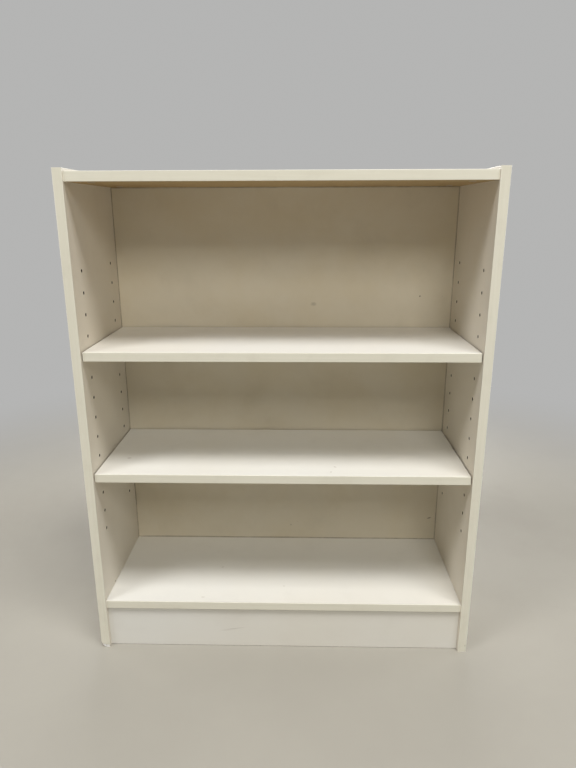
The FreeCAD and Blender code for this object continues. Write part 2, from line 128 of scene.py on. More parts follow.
class Body(Enum):
    """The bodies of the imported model."""

    CARCASS = "carcass"
    UPPER_SHELF = "upper_shelf_set"
    LOWER_SHELF = "lower_shelf_set"


class Slot(Enum):
    """The record's material slots."""

    BOARD = "white_board"
    HARDBOARD = "white_hardboard"
    STRIP = "edge_strip"
    PIN = "nickel_pin"
    FITTING = "zinc_fitting"
    DOWEL = "beech_dowel"
    NAIL = "steel_nail"


class Coat(Enum):
    """The order of the finishes on a piece's faces."""

    FACING = 0
    RAW = 1
    # Painted shade on the low face of the top, in place of its facing.
    UNDERSIDE_SHADE = 2


class Supply(Enum):
    """What goes through a tree's port that has no value of its own."""

    SHAPE = "NodeSocketGeometry"
    FINISH = "NodeSocketMaterial"


def opaque(colour: Colour | Socket) -> Any:
    """Adds a full alpha to a colour, and leaves a socket as it is."""
    return (*colour, 1.0) if isinstance(colour, tuple) else colour


class Wiring:
    """Adds nodes to one tree and joins them."""

    # Numbers of the mix node's sockets for colours.
    mix_share = 0
    mix_first = 6
    mix_second = 7
    mix_result = 2

    def __init__(self, tree: bpy.types.NodeTree) -> None:
        """Keeps the tree that the nodes go into."""
        self.tree = tree

    def feed(self, node: bpy.types.Node, inputs: dict[Any, Any]) -> None:
        """Fills a node's inputs.

        Args:
            node: The node.
            inputs: A socket to join or a value for each input, by its name or number.
        """
        for key, value in inputs.items():
            if isinstance(value, Socket):
                self.tree.links.new(value, node.inputs[key])
            else:
                node.inputs[key].default_value = value

    def node(self, kind: str, inputs: dict[Any, Any] | None = None, **settings: Any) -> bpy.types.Node:
        """Adds one node.

        Args:
            kind: Blender's name of the node.
            inputs: A socket to join or a value for each input, by its name or number.
            settings: Properties of the node itself.

        Returns:
            The new node.
        """
        made = self.tree.nodes.new(kind)
        for name, value in settings.items():
            setattr(made, name, value)
        self.feed(made, inputs or {})
        return made

    def out(self, kind: str, inputs: dict[Any, Any] | None = None, **settings: Any) -> Socket:
        """Adds one node and gives its first output."""
        return self.node(kind, inputs, **settings).outputs[0]

    def math(self, operation: str, *values: Any) -> Socket:
        """Works out a number from one or two numbers."""
        return self.out("ShaderNodeMath", dict(enumerate(values)), operation=operation)

    def plus(self, first: Any, second: Any) -> Socket:
        """Adds two numbers."""
        return self.math("ADD", first, second)

    def minus(self, first: Any, second: Any) -> Socket:
        """Takes the second number from the first."""
        return self.math("SUBTRACT", first, second)

    def times(self, *factors: Any) -> Socket:
        """Multiplies two or more numbers, from the first to the last."""
        return reduce(partial(self.math, "MULTIPLY"), factors)

    def over(self, first: Any, second: Any) -> Socket:
        """Divides the first number by the second."""
        return self.math("DIVIDE", first, second)

    def vector(self, operation: str, *values: Any) -> Socket:
        """Works out a vector from one or two vectors."""
        return self.out("ShaderNodeVectorMath", dict(enumerate(values)), operation=operation)

    def length(self, vector: Socket) -> Socket:
        """Gives a vector's length."""
        return self.node("ShaderNodeVectorMath", {0: vector}, operation="LENGTH").outputs["Value"]

    def parts(self, vector: Socket) -> list[Socket]:
        """Splits a vector into its three numbers."""
        return list(self.node("ShaderNodeSeparateXYZ", {0: vector}).outputs)

    def point(self, x: Any = 0.0, y: Any = 0.0, z: Any = 0.0) -> Socket:
        """Makes a vector of three numbers."""
        return self.out("ShaderNodeCombineXYZ", {0: x, 1: y, 2: z})

    def fade(self, value: Socket, span: Span, reach: Span = RISING) -> Socket:
        """Eases from one end of the reach to the other while a value goes through a span."""
        limits = dict(zip(("From Min", "From Max", "To Min", "To Max"), (*span, *reach)))
        return self.out("ShaderNodeMapRange", {"Value": value, **limits}, interpolation_type="SMOOTHSTEP")

    def blend(self, share: Socket, first: Colour | Socket, second: Colour) -> Socket:
        """Mixes two colours by a share of the second."""
        inputs = {self.mix_share: share, self.mix_first: opaque(first), self.mix_second: opaque(second)}
        return self.node("ShaderNodeMix", inputs, data_type="RGBA").outputs[self.mix_result]

    def noise(self, position: Socket, scale: Any, detail: float, roughness: float = 0.5) -> Socket:
        """Gives a cloudy value from 0 to 1 at each place."""
        inputs = {"Vector": position, "Scale": scale, "Detail": detail, "Roughness": roughness}
        return self.out("ShaderNodeTexNoise", inputs)

    def effect(self, kind: "type[Effect]", **inputs: Any) -> Sockets:
        """Places an effect's group with its own inputs, and gives its outputs by name."""
        placed = self.node("ShaderNodeGroup", inputs, node_tree=kind.group())
        return {socket.name: socket for socket in placed.outputs}

    def shown(self) -> Socket:
        """Tells rays from the camera or off a shine, which show the backdrop, from those that give light.

        Returns:
            1 for a ray that shows the backdrop and 0 for the others.
        """
        path = self.node("ShaderNodeLightPath").outputs
        bounced = self.math("MAXIMUM", path["Is Glossy Ray"], path["Is Transmission Ray"])
        return self.math("MAXIMUM", path["Is Camera Ray"], bounced)


class Tree(Wiring):
    """A node tree with named inputs and outputs that is built once and used many times."""

    title: ClassVar[str]
    kind: ClassVar[str]
    takes: ClassVar[dict[str, Any]]
    gives: ClassVar[dict[str, Any]]
    port_kinds = {float: "NodeSocketFloat", int: "NodeSocketInt", tuple: "NodeSocketVector"}

    def __init__(self) -> None:
        """Builds the tree: its ports, and between them its own nodes."""
        super().__init__(bpy.data.node_groups.new(self.title, self.kind))
        for ports, way in ((self.takes, "INPUT"), (self.gives, "OUTPUT")):
            for name, value in ports.items():
                if isinstance(value, Supply):
                    self.tree.interface.new_socket(name, in_out=way, socket_type=value.value)
                    continue
                port_kind = self.port_kinds[type(value)]
                port = self.tree.interface.new_socket(name, in_out=way, socket_type=port_kind)
                port.default_value = value
        start = self.node("NodeGroupInput")
        self.given = {name: start.outputs[name] for name in self.takes}
        self.node("NodeGroupOutput", self.wire())

    @classmethod
    def group(cls) -> bpy.types.NodeTree:
        """Gives the tree, and builds it when it is first asked for."""
        return bpy.data.node_groups.get(cls.title) or cls().tree

    def wire(self) -> Sockets:
        """Adds the tree's own nodes and gives what goes to each output."""
        raise NotImplementedError


class Effect(Tree):
    """An effect that several finishes share, as a shader node group."""

    kind = "ShaderNodeTree"


class FineEmboss(Effect):
    """The fine relief that a pressed or printed surface keeps."""

    title = "fine_emboss"
    takes = {"Position": NOWHERE, "Size": 0.001, "Stretch": EVEN}
    gives = {"Height": 0.0}
    detail = 1.0
    broad_scale = 0.22
    broad_share = 0.8

    def wire(self) -> Sockets:
        """Adds a fine noise and a broader one under it.

        Returns:
            The height.
        """
        drawn = self.vector("MULTIPLY", self.given["Position"], self.given["Stretch"])
        scale = self.over(1.0, self.given["Size"])
        fine = self.noise(drawn, scale, self.detail)
        broad = self.noise(drawn, self.times(scale, self.broad_scale), self.detail)
        return {"Height": self.plus(fine, self.times(broad, self.broad_share))}


class Handling(Effect):
    """Smudges from hands and small specks of dirt."""

    title = "handling"
    takes = {"Position": NOWHERE, "Patch": 0.08, "Speck spacing": 0.03}
    gives = {"Smudge": 0.0, "Speck": 0.0}
    patch_detail = 5.0
    patch_roughness = 0.62
    patch_span = (0.48, 0.78)
    picked_span = (0.72, 0.95)
    dot_span = (0.012, 0.03)

    def wire(self) -> Sockets:
        """Adds clouded patches, and dots in a few cells of a scattered grid.

        Returns:
            The smudges and the specks.
        """
        position = self.given["Position"]
        scale = self.over(1.0, self.given["Patch"])
        patches = self.noise(position, scale, self.patch_detail, self.patch_roughness)
        spacing = self.over(1.0, self.given["Speck spacing"])
        cells = self.node("ShaderNodeTexVoronoi", {"Vector": position, "Scale": spacing})
        picked = self.fade(self.parts(cells.outputs["Color"])[0], self.picked_span)
        dot = self.fade(cells.outputs["Distance"], self.dot_span, FALLING)
        return {"Smudge": self.fade(patches, self.patch_span), "Speck": self.times(dot, picked)}


class BorderDirtAndHighlight(Effect):
    """A band along the edges of a box, broken up unevenly, that carries dirt, and on the strips a painted
    highlight.
    """

    title = "border_dirt_and_highlight"
    takes = {"Position": NOWHERE, "Low": NOWHERE, "High": NOWHERE, "Reach": 0.003}
    gives = {"Mask": 0.0}
    break_scale = 34.0
    break_detail = 4.0
    break_roughness = 0.65
    break_span = (0.3, 0.7)
    break_reach = (0.5, 1.0)

    def wire(self) -> Sockets:
        """Adds the distance to the nearest edge, the middle one of those to the three pairs of sides.

        Returns:
            The band's mask.
        """
        position = self.given["Position"]
        from_low = self.vector("SUBTRACT", position, self.given["Low"])
        from_high = self.vector("SUBTRACT", self.given["High"], position)
        x, y, z = self.parts(self.vector("ABSOLUTE", self.vector("MINIMUM", from_low, from_high)))
        lesser = self.math("MINIMUM", x, y)
        greater = self.math("MAXIMUM", x, y)
        to_edge = self.math("MAXIMUM", lesser, self.math("MINIMUM", greater, z))
        near = self.fade(self.over(to_edge, self.given["Reach"]), RISING, FALLING)
        broken = self.noise(position, self.break_scale, self.break_detail, self.break_roughness)
        return {"Mask": self.times(near, self.fade(broken, self.break_span, self.break_reach))}


class Scuff(Effect):
    """One rubbed or stained spot with a ragged rim."""

    title = "scuff"
    takes = {"Position": NOWHERE, "Centre": NOWHERE, "Turn": NOWHERE, "Half size": (0.01, 0.01, 0.01),
             "Strength": 0.5}
    gives = {"Mask": 0.0}
    fray_scale = 700.0
    fray_detail = 3.0
    fray_reach = 0.9
    rim = (0.75, 1.45)

    def wire(self) -> Sockets:
        """Adds an ellipsoid whose rim a fine noise frays.

        Returns:
            The spot's mask.
        """
        position = self.given["Position"]
        inputs = {"Vector": position, "Location": self.given["Centre"], "Rotation": self.given["Turn"],
                  "Scale": self.given["Half size"]}
        away = self.length(self.out("ShaderNodeMapping", inputs, vector_type="TEXTURE"))
        fray = self.noise(position, self.fray_scale, self.fray_detail)
        frayed = self.plus(away, self.times(fray, self.fray_reach))
        return {"Mask": self.times(self.fade(frayed, self.rim, FALLING), self.given["Strength"])}


class Flakes(Effect):
    """Pressed flakes of wood, each with its own shade."""

    title = "flakes"
    takes = {"Position": NOWHERE, "Size": 0.002}
    gives = {"Shade": 0.0, "Height": 0.0}
    bend_scale = 250.0
    small_scale = 2.7
    large_share = 0.6
    small_share = 0.4
    small_height = 0.5

    def wire(self) -> Sockets:
        """Adds two sizes of cells, in places that a noise bends.

        Returns:
            The flakes' shade and height.
        """
        position = self.given["Position"]
        bend = self.node("ShaderNodeTexNoise", {"Vector": position, "Scale": self.bend_scale})
        bent = self.vector("ADD", position, bend.outputs["Color"])
        scale = self.over(1.0, self.given["Size"])
        cells = []
        for number in (scale, self.times(scale, self.small_scale)):
            cells.append(self.node("ShaderNodeTexVoronoi", {"Vector": bent, "Scale": number}).outputs)
        large, small = [self.parts(outputs["Color"])[0] for outputs in cells]
        shade = self.plus(self.times(large, self.large_share), self.times(small, self.small_share))
        height = self.plus(cells[0]["Distance"], self.times(small, self.small_height))
        return {"Shade": shade, "Height": height}


@dataclass(frozen=True)
class Mark:
    """A mark on a face: where it lies from the face's low corner, its half sizes, turn and darkness."""

    along: float
    inwards: float
    half_length: float
    half_width: float
    turn: float
    strength: float

    def spot(self, low: Vector, level: float, normal: Axis, depth: float) -> Spot:
        """Works out the scuff that shows the mark.

        Args:
            low: Low corner of the board.
            level: Where the face lies along its normal.
            normal: The axis across the board.
            depth: How far the scuff reaches into the board.

        Returns:
            Values by the names of the scuff's inputs.
        """
        first, second = [axis.value for axis in Axis if axis is not normal]
        across = normal.value
        centre = Vector(low)
        centre[first] += self.along
        centre[second] += self.inwards
        centre[across] = level
        half = Vector()
        half[first] = self.half_length
        half[second] = self.half_width
        half[across] = depth
        turn = Vector()
        turn[across] = math.radians(self.turn)
        return {"Centre": centre, "Half size": half, "Turn": turn, "Strength": self.strength}


class Coating(Wiring):
    """A material while its nodes are put together, round a shader that reads places on the piece."""

    def __init__(self, name: str, colour: Colour, extent: Extent | None, spots: Sequence[Spot]) -> None:
        """Starts the material.

        Args:
            name: The material's name.
            colour: Its colour in a plain view.
            extent: Low and high corner of the box whose borders wear, if they do.
            spots: Values for each scuff.
        """
        self.material = bpy.data.materials.new(name)
        self.material.use_nodes = True
        self.material.diffuse_color = opaque(colour)
        super().__init__(self.material.node_tree)
        self.tree.nodes.clear()
        self.shader = self.node("ShaderNodeBsdfPrincipled")
        self.output = self.node("ShaderNodeOutputMaterial", {"Surface": self.shader.outputs[0]})
        self.position = self.node("ShaderNodeTexCoord").outputs["Object"]
        self.extent = extent
        self.spots = spots

    def set(self, **inputs: Any) -> None:
        """Gives the shader sockets or values by the names of its inputs, with _ for a blank."""
        self.feed(self.shader, {name.replace("_", " "): value for name, value in inputs.items()})

    def bump(self, height: Socket, depth: float) -> None:
        """Gives the shader a relief of a depth in metres."""
        self.set(Normal=self.out("ShaderNodeBump", {"Height": height, "Distance": depth, "Strength": 1.0}))

    def relief(self, size: float, stretch: Triple = EVEN) -> Socket:
        """Gives the height of a fine relief."""
        return self.effect(FineEmboss, Position=self.position, Size=size, Stretch=stretch)["Height"]

    def touch(self, patch: float) -> Sockets:
        """Gives the smudges and specks of handling, for patches of a size."""
        return self.effect(Handling, Position=self.position, Patch=patch)

    def border(self, reach: float) -> Socket:
        """Gives the band along the borders of the extent: dirt, and on the strips a painted highlight."""
        low, high = self.extent
        return self.effect(BorderDirtAndHighlight, Position=self.position, Low=low, High=high, Reach=reach)["Mask"]

    def scuffs(self) -> list[Socket]:
        """Gives each spot's mask."""
        return [self.effect(Scuff, Position=self.position, **spot)["Mask"] for spot in self.spots]


@dataclass(frozen=True)
class Finish:
    """What finishes share: a colour, a roughness and how it varies, and the size of smudges."""

    colour: Colour
    roughness: float
    rough_span: Span = RISING
    rough_change: Span = (0.0, 0.1)
    patch: float = 0.08

    def material(self, name: str, extent: Extent | None = None, spots: Sequence[Spot] = ()) -> Material:
        """Makes the finish as a material.

        Args:
            name: The material's name.
            extent: Low and high corner of the box whose borders wear, if they do.
            spots: Values for each scuff.

        Returns:
            The material.
        """
        coat = Coating(name, self.colour, extent, spots)
        self.lay(coat)
        return coat.material

    def lay(self, coat: Coating) -> None:
        """Adds the finish's own nodes to a material."""
        raise NotImplementedError

    def rough(self, coat: Coating, value: Socket) -> Socket:
        """Gives a roughness that changes while a value goes through the finish's span."""
        low, high = [self.roughness + change for change in self.rough_change]
        return coat.fade(value, self.rough_span, (low, high))


@dataclass(frozen=True)
class Handled(Finish):
    """A finish within reach of hands: its dirt, its border band (a painted highlight on the strips), and how
    strong each kind of wear is.
    """

    dirt: Colour = (0.30, 0.25, 0.19)
    border: float = 0.0035
    border_share: float = 0.22
    smudge_share: float = 0.055
    speck_share: float = 0.45

    def edge(self, coat: Coating) -> Socket:
        """Gives the share of the border band: dirt, and on the strips a painted highlight."""
        return coat.times(coat.border(self.border), self.border_share)

    def soil(self, coat: Coating, tint: Socket, touch: Sockets, *first: Socket) -> Socket:
        """Blends dirt over a colour.

        Args:
            coat: The material.
            tint: The clean colour.
            touch: The smudges and specks of handling.
            first: Shares of dirt that come before those of handling and of the spots.

        Returns:
            The soiled colour.
        """
        smudge = coat.times(touch["Smudge"], self.smudge_share)
        speck = coat.times(touch["Speck"], self.speck_share)
        for share in (*first, smudge, speck, *coat.scuffs()):
            tint = coat.blend(share, tint, self.dirt)
        return tint


@dataclass(frozen=True)
class Facing(Handled):
    """White melamine: a pressed satin film that yellows, takes smudges and gathers dirt at its borders."""

    colour: Colour = (0.77, 0.755, 0.705)
    roughness: float = 0.52
    aged: Colour = (0.755, 0.725, 0.65)
    cloud: float = 0.45
    cloud_detail: float = 3.0
    emboss_size: float = 0.0011
    emboss_depth: float = 0.000018
    smudge_gloss: float = 0.10

    def lay(self, coat: Coating) -> None:
        """Adds yellowed clouds, dirt, smudges that dull the shine, and the pressed relief.

        Args:
            coat: The material.
        """
        clouds = coat.fade(coat.noise(coat.position, 1.0 / self.cloud, self.cloud_detail), CLOUD_SPAN)
        touch = coat.touch(self.patch)
        tint = self.soil(coat, coat.blend(clouds, self.colour, self.aged), touch, self.edge(coat))
        dull = coat.times(touch["Smudge"], self.smudge_gloss)
        coat.set(Base_Color=tint, Roughness=coat.plus(dull, self.roughness))
        coat.bump(coat.relief(self.emboss_size), self.emboss_depth)


@dataclass(frozen=True)
class StripPlastic(Handled):
    """Cream edge strip: drawn lengthwise, a little glossier than the facing, with a painted highlight along
    its borders.
    """

    colour: Colour = (0.755, 0.725, 0.605)
    roughness: float = 0.36
    rough_span: Span = (0.5, 1.4)
    rough_change: Span = (-0.05, 0.1)
    patch: float = 0.05
    dirt: Colour = (0.34, 0.29, 0.21)
    border: float = 0.0018
    border_share: float = 0.7
    smudge_share: float = 0.10
    speck_share: float = 0.5
    pale_streak_and_highlight: Colour = (0.86, 0.835, 0.735)
    streak: Triple = EVEN
    streak_size: float = 0.004
    streak_depth: float = 0.00001
    rub_span: Span = (0.6, 1.3)
    rub_reach: Span = (0.0, 0.3)

    def lay(self, coat: Coating) -> None:
        """Adds paler streaks, a painted highlight along the borders, and dirt.

        Args:
            coat: The material.
        """
        streak = coat.relief(self.streak_size, self.streak)
        # Paler streaks, and a painted highlight along the borders.
        rubbed = coat.plus(coat.fade(streak, self.rub_span, self.rub_reach), self.edge(coat))
        tint = self.soil(coat, coat.blend(rubbed, self.colour, self.pale_streak_and_highlight), coat.touch(self.patch))
        coat.set(Base_Color=tint, Roughness=self.rough(coat, streak))
        coat.bump(streak, self.streak_depth)


@dataclass(frozen=True)
class PrintedFoil(Handled):
    """White print on the front of the thin back: flatter than the facing, slightly mottled, and darker and
    yellower as aged print and painted warm shade.
    """

    # Darker and yellower than the facing: partly aged print, partly painted warm shade of the bays.
    colour: Colour = (0.71, 0.645, 0.51)
    roughness: float = 0.52
    patch: float = 0.12
    dirt: Colour = (0.16, 0.12, 0.075)
    border: float = 0.003
    border_share: float = 0.85
    smudge_share: float = 0.07
    speck_share: float = 0.5
    aged: Colour = (0.685, 0.61, 0.46)
    mottle: float = 0.16
    mottle_detail: float = 4.0
    mottle_roughness: float = 0.6
    grain_size: float = 0.0016
    grain_depth: float = 0.00002

    def lay(self, coat: Coating) -> None:
        """Adds a yellowed mottle, dirt and a fine grain.

        Args:
            coat: The material.
        """
        mottle = coat.noise(coat.position, 1.0 / self.mottle, self.mottle_detail, self.mottle_roughness)
        clouds = coat.fade(mottle, CLOUD_SPAN)
        print_tint = coat.blend(clouds, self.colour, self.aged)
        tint = self.soil(coat, print_tint, coat.touch(self.patch), self.edge(coat))
        coat.set(Base_Color=tint, Roughness=self.rough(coat, clouds))
        coat.bump(coat.relief(self.grain_size), self.grain_depth)


@dataclass(frozen=True)
class BareHardboard(Finish):
    """The rough brown rear of the thin back, with the imprint of the screen that it was pressed on."""

    colour: Colour = (0.205, 0.118, 0.062)
    roughness: float = 0.82
    rough_span: Span = (0.5, 1.3)
    rough_change: Span = (-0.08, 0.1)
    patch: float = 0.2
    pale: Colour = (0.36, 0.235, 0.135)
    dust: Colour = (0.42, 0.36, 0.29)
    dust_share: float = 0.3
    fibre_size: float = 0.0035
    fibre_span: Span = (0.55, 1.25)
    screen: float = 0.0016
    screen_depth: float = 0.00012

    def lay(self, coat: Coating) -> None:
        """Adds fibres, dust and the screen's weave.

        Args:
            coat: The material.
        """
        fibre = coat.relief(self.fibre_size)
        tint = coat.blend(coat.fade(fibre, self.fibre_span), self.colour, self.pale)
        dusty = coat.times(coat.touch(self.patch)["Smudge"], self.dust_share)
        x, _, z = coat.parts(coat.vector("MULTIPLY", coat.position, (math.tau / self.screen,) * len(Axis)))
        weave = coat.times(coat.math("SINE", x), coat.math("SINE", z))
        coat.set(Base_Color=coat.blend(dusty, tint, self.dust), Roughness=self.rough(coat, fibre))
        coat.bump(coat.plus(weave, fibre), self.screen_depth)


@dataclass(frozen=True)
class RawChipboard(Finish):
    """The bare core of a board, seen on edges without a strip and inside holes."""

    colour: Colour = (0.36, 0.245, 0.14)
    roughness: float = 0.85
    rough_change: Span = (-0.1, 0.0)
    pale: Colour = (0.62, 0.48, 0.31)
    shine: float = 0.4
    smudge_share: float = 0.35
    flake_size: float = 0.0022
    flake_depth: float = 0.0002

    def lay(self, coat: Coating) -> None:
        """Adds flakes and dark smudges.

        Args:
            coat: The material.
        """
        flakes = coat.effect(Flakes, Position=coat.position, Size=self.flake_size)
        tint = coat.blend(flakes["Shade"], self.colour, self.pale)
        smudge = coat.times(coat.touch(self.patch)["Smudge"], self.smudge_share)
        coat.set(Base_Color=coat.blend(smudge, tint, self.colour), Specular_IOR_Level=self.shine,
                 Roughness=self.rough(coat, flakes["Shade"]))
        coat.bump(flakes["Height"], self.flake_depth)


@dataclass(frozen=True)
class UndersideShadePaint(Finish):
    """Brown on the face of a board that is out of sight, the underside of the top: painted shade, with fibres
    and stains.
    """

    colour: Colour = (0.46, 0.34, 0.185)
    roughness: float = 0.66
    rough_span: Span = (0.5, 1.3)
    rough_change: Span = (-0.06, 0.08)
    patch: float = 0.15
    stain: Colour = (0.36, 0.235, 0.11)
    stain_share: float = 0.6
    shine: float = 0.03
    fibre_size: float = 0.0024
    fibre_depth: float = 0.00003
    fibre_span: Span = (0.7, 1.3)
    fibre_reach: Span = (0.0, 0.3)

    def lay(self, coat: Coating) -> None:
        """Adds fibres and stains.

        Args:
            coat: The material.
        """
        fibre = coat.relief(self.fibre_size)
        stained = coat.times(coat.touch(self.patch)["Smudge"], self.stain_share)
        share = coat.plus(coat.fade(fibre, self.fibre_span, self.fibre_reach), stained)
        coat.set(Base_Color=coat.blend(share, self.colour, self.stain), Specular_IOR_Level=self.shine,
                 Roughness=self.rough(coat, fibre))
        coat.bump(fibre, self.fibre_depth)


@dataclass(frozen=True)
class TornEdge(Finish):
    """The pale, rough core of a strip where it has broken off."""

    colour: Colour = (0.94, 0.93, 0.90)
    roughness: float = 0.7
    dirt: Colour = (0.45, 0.38, 0.29)
    grain_size: float = 0.0008
    grain_depth: float = 0.0001
    dirt_span: Span = (0.9, 1.3)
    dirt_reach: Span = (0.0, 0.5)

    def lay(self, coat: Coating) -> None:
        """Adds a coarse grain with dirt in it.

        Args:
            coat: The material.
        """
        grain = coat.relief(self.grain_size)
        shade = coat.fade(grain, self.dirt_span, self.dirt_reach)
        coat.set(Base_Color=coat.blend(shade, self.colour, self.dirt), Roughness=self.roughness)
        coat.bump(grain, self.grain_depth)


@dataclass(frozen=True)
class PlatedMetal(Finish):
    """Bright or dull metal with fine scratches and a little tarnish."""

    rough_span: Span = (0.4, 1.4)
    rough_change: Span = (-0.1, 0.12)
    patch: float = 0.006
    tarnish: Colour = (0.30, 0.27, 0.23)
    tarnish_share: float = 0.35
    tarnish_roughness: float = 0.4
    scratch_size: float = 0.0006
    scratch_depth: float = 0.000015

    def lay(self, coat: Coating) -> None:
        """Adds scratches and dull patches of tarnish.

        Args:
            coat: The material.
        """
        scratch = coat.relief(self.scratch_size)
        dull = coat.times(coat.touch(self.patch)["Smudge"], self.tarnish_share)
        rough = coat.plus(self.rough(coat, scratch), coat.times(dull, self.tarnish_roughness))
        coat.set(Base_Color=coat.blend(dull, self.colour, self.tarnish), Metallic=1.0, Roughness=rough)
        coat.bump(scratch, self.scratch_depth)


@dataclass(frozen=True)
class PlainBeech(Finish):
    """Turned beech with a grain along its length."""

    colour: Colour = (0.52, 0.34, 0.19)
    roughness: float = 0.62
    rough_span: Span = (0.5, 1.3)
    rough_change: Span = (0.0, 0.15)
    dark: Colour = (0.36, 0.215, 0.11)
    dark_span: Span = (0.7, 1.2)
    grain: Triple = (0.06, 1.0, 1.0)
    grain_size: float = 0.0009
    grain_depth: float = 0.00004

    def lay(self, coat: Coating) -> None:
        """Adds the grain, darker and rougher in its furrows.

        Args:
            coat: The material.
        """
        grain = coat.relief(self.grain_size, self.grain)
        tint = coat.blend(coat.fade(grain, self.dark_span), self.colour, self.dark)
        coat.set(Base_Color=tint, Roughness=self.rough(coat, grain))
        coat.bump(grain, self.grain_depth)


@dataclass(frozen=True)
class FloorPaint(Finish):
    """A plain pale floor, faintly clouded, that melts into the backdrop away from the bookcase."""

    colour: Colour = (0.368, 0.347, 0.300)
    roughness: float = 0.6
    clouded: Colour = (0.348, 0.327, 0.282)
    cloud_scale: float = 1.6
    cloud_detail: float = 5.0
    cloud_roughness: float = 0.6
    backdrop: Colour = BACKDROP_GREY
    melting: Span = (0.95, 2.2)

    def lay(self, coat: Coating) -> None:
        """Adds the clouds, and blends the backdrop in by the distance from the middle.

        Args:
            coat: The material.
        """
        cloud = coat.noise(coat.position, self.cloud_scale, self.cloud_detail, self.cloud_roughness)
        clouds = coat.fade(cloud, CLOUD_SPAN)
        coat.set(Base_Color=coat.blend(clouds, self.colour, self.clouded), Roughness=self.rough(coat, clouds))
        share = coat.times(coat.fade(coat.length(coat.position), self.melting), coat.shown())
        glow = coat.out("ShaderNodeEmission", {"Color": opaque(self.backdrop), "Strength": 1.0})
        both = coat.out("ShaderNodeMixShader", {0: share, 1: coat.shader.outputs[0], 2: glow})
        coat.feed(coat.output, {"Surface": both})


class Shaper(Tree):
    """A Geometry Nodes tree that makes or changes a piece."""

    kind = "GeometryNodeTree"

    def seeded_noise(self, where: Socket, scale: float) -> bpy.types.Node:
        """Adds a noise that the tree's seed shifts."""
        inputs = {"Vector": where, "W": self.given["Seed"], "Scale": scale, "Detail": 1.0}
        return self.node("ShaderNodeTexNoise", inputs, noise_dimensions="4D")

    def painted(self, piece: Socket, finish: Socket, chosen: Any = True) -> Socket:
        """Gives the chosen faces of a shape a material."""
        inputs = {"Geometry": piece, "Selection": chosen, "Material": finish}
        return self.out("GeometryNodeSetMaterial", inputs)

    @classmethod
    def work(cls, piece: Object, **inputs: Any) -> None:
        """Runs the tree on a piece and leaves a plain mesh.

        Args:
            piece: The object that the tree works on.
            inputs: Values by the names of the tree's inputs, with _ for a blank.
        """
        tree = cls.group()
        modifier = piece.modifiers.new(cls.title, "NODES")
        modifier.node_group = tree
        ports = {item.name: item.identifier for item in tree.interface.items_tree if item.in_out == "INPUT"}
        for name, value in inputs.items():
            modifier[ports[name.replace("_", " ")]] = value
        evaluated = piece.evaluated_get(bpy.context.evaluated_depsgraph_get())
        made = bpy.data.meshes.new_from_object(evaluated)
        piece.modifiers.remove(modifier)
        for empty in [index for index, kept in enumerate(made.materials) if kept is None][::-1]:
            made.materials.pop(index=empty)
        piece.data = made
        made.name = piece.name


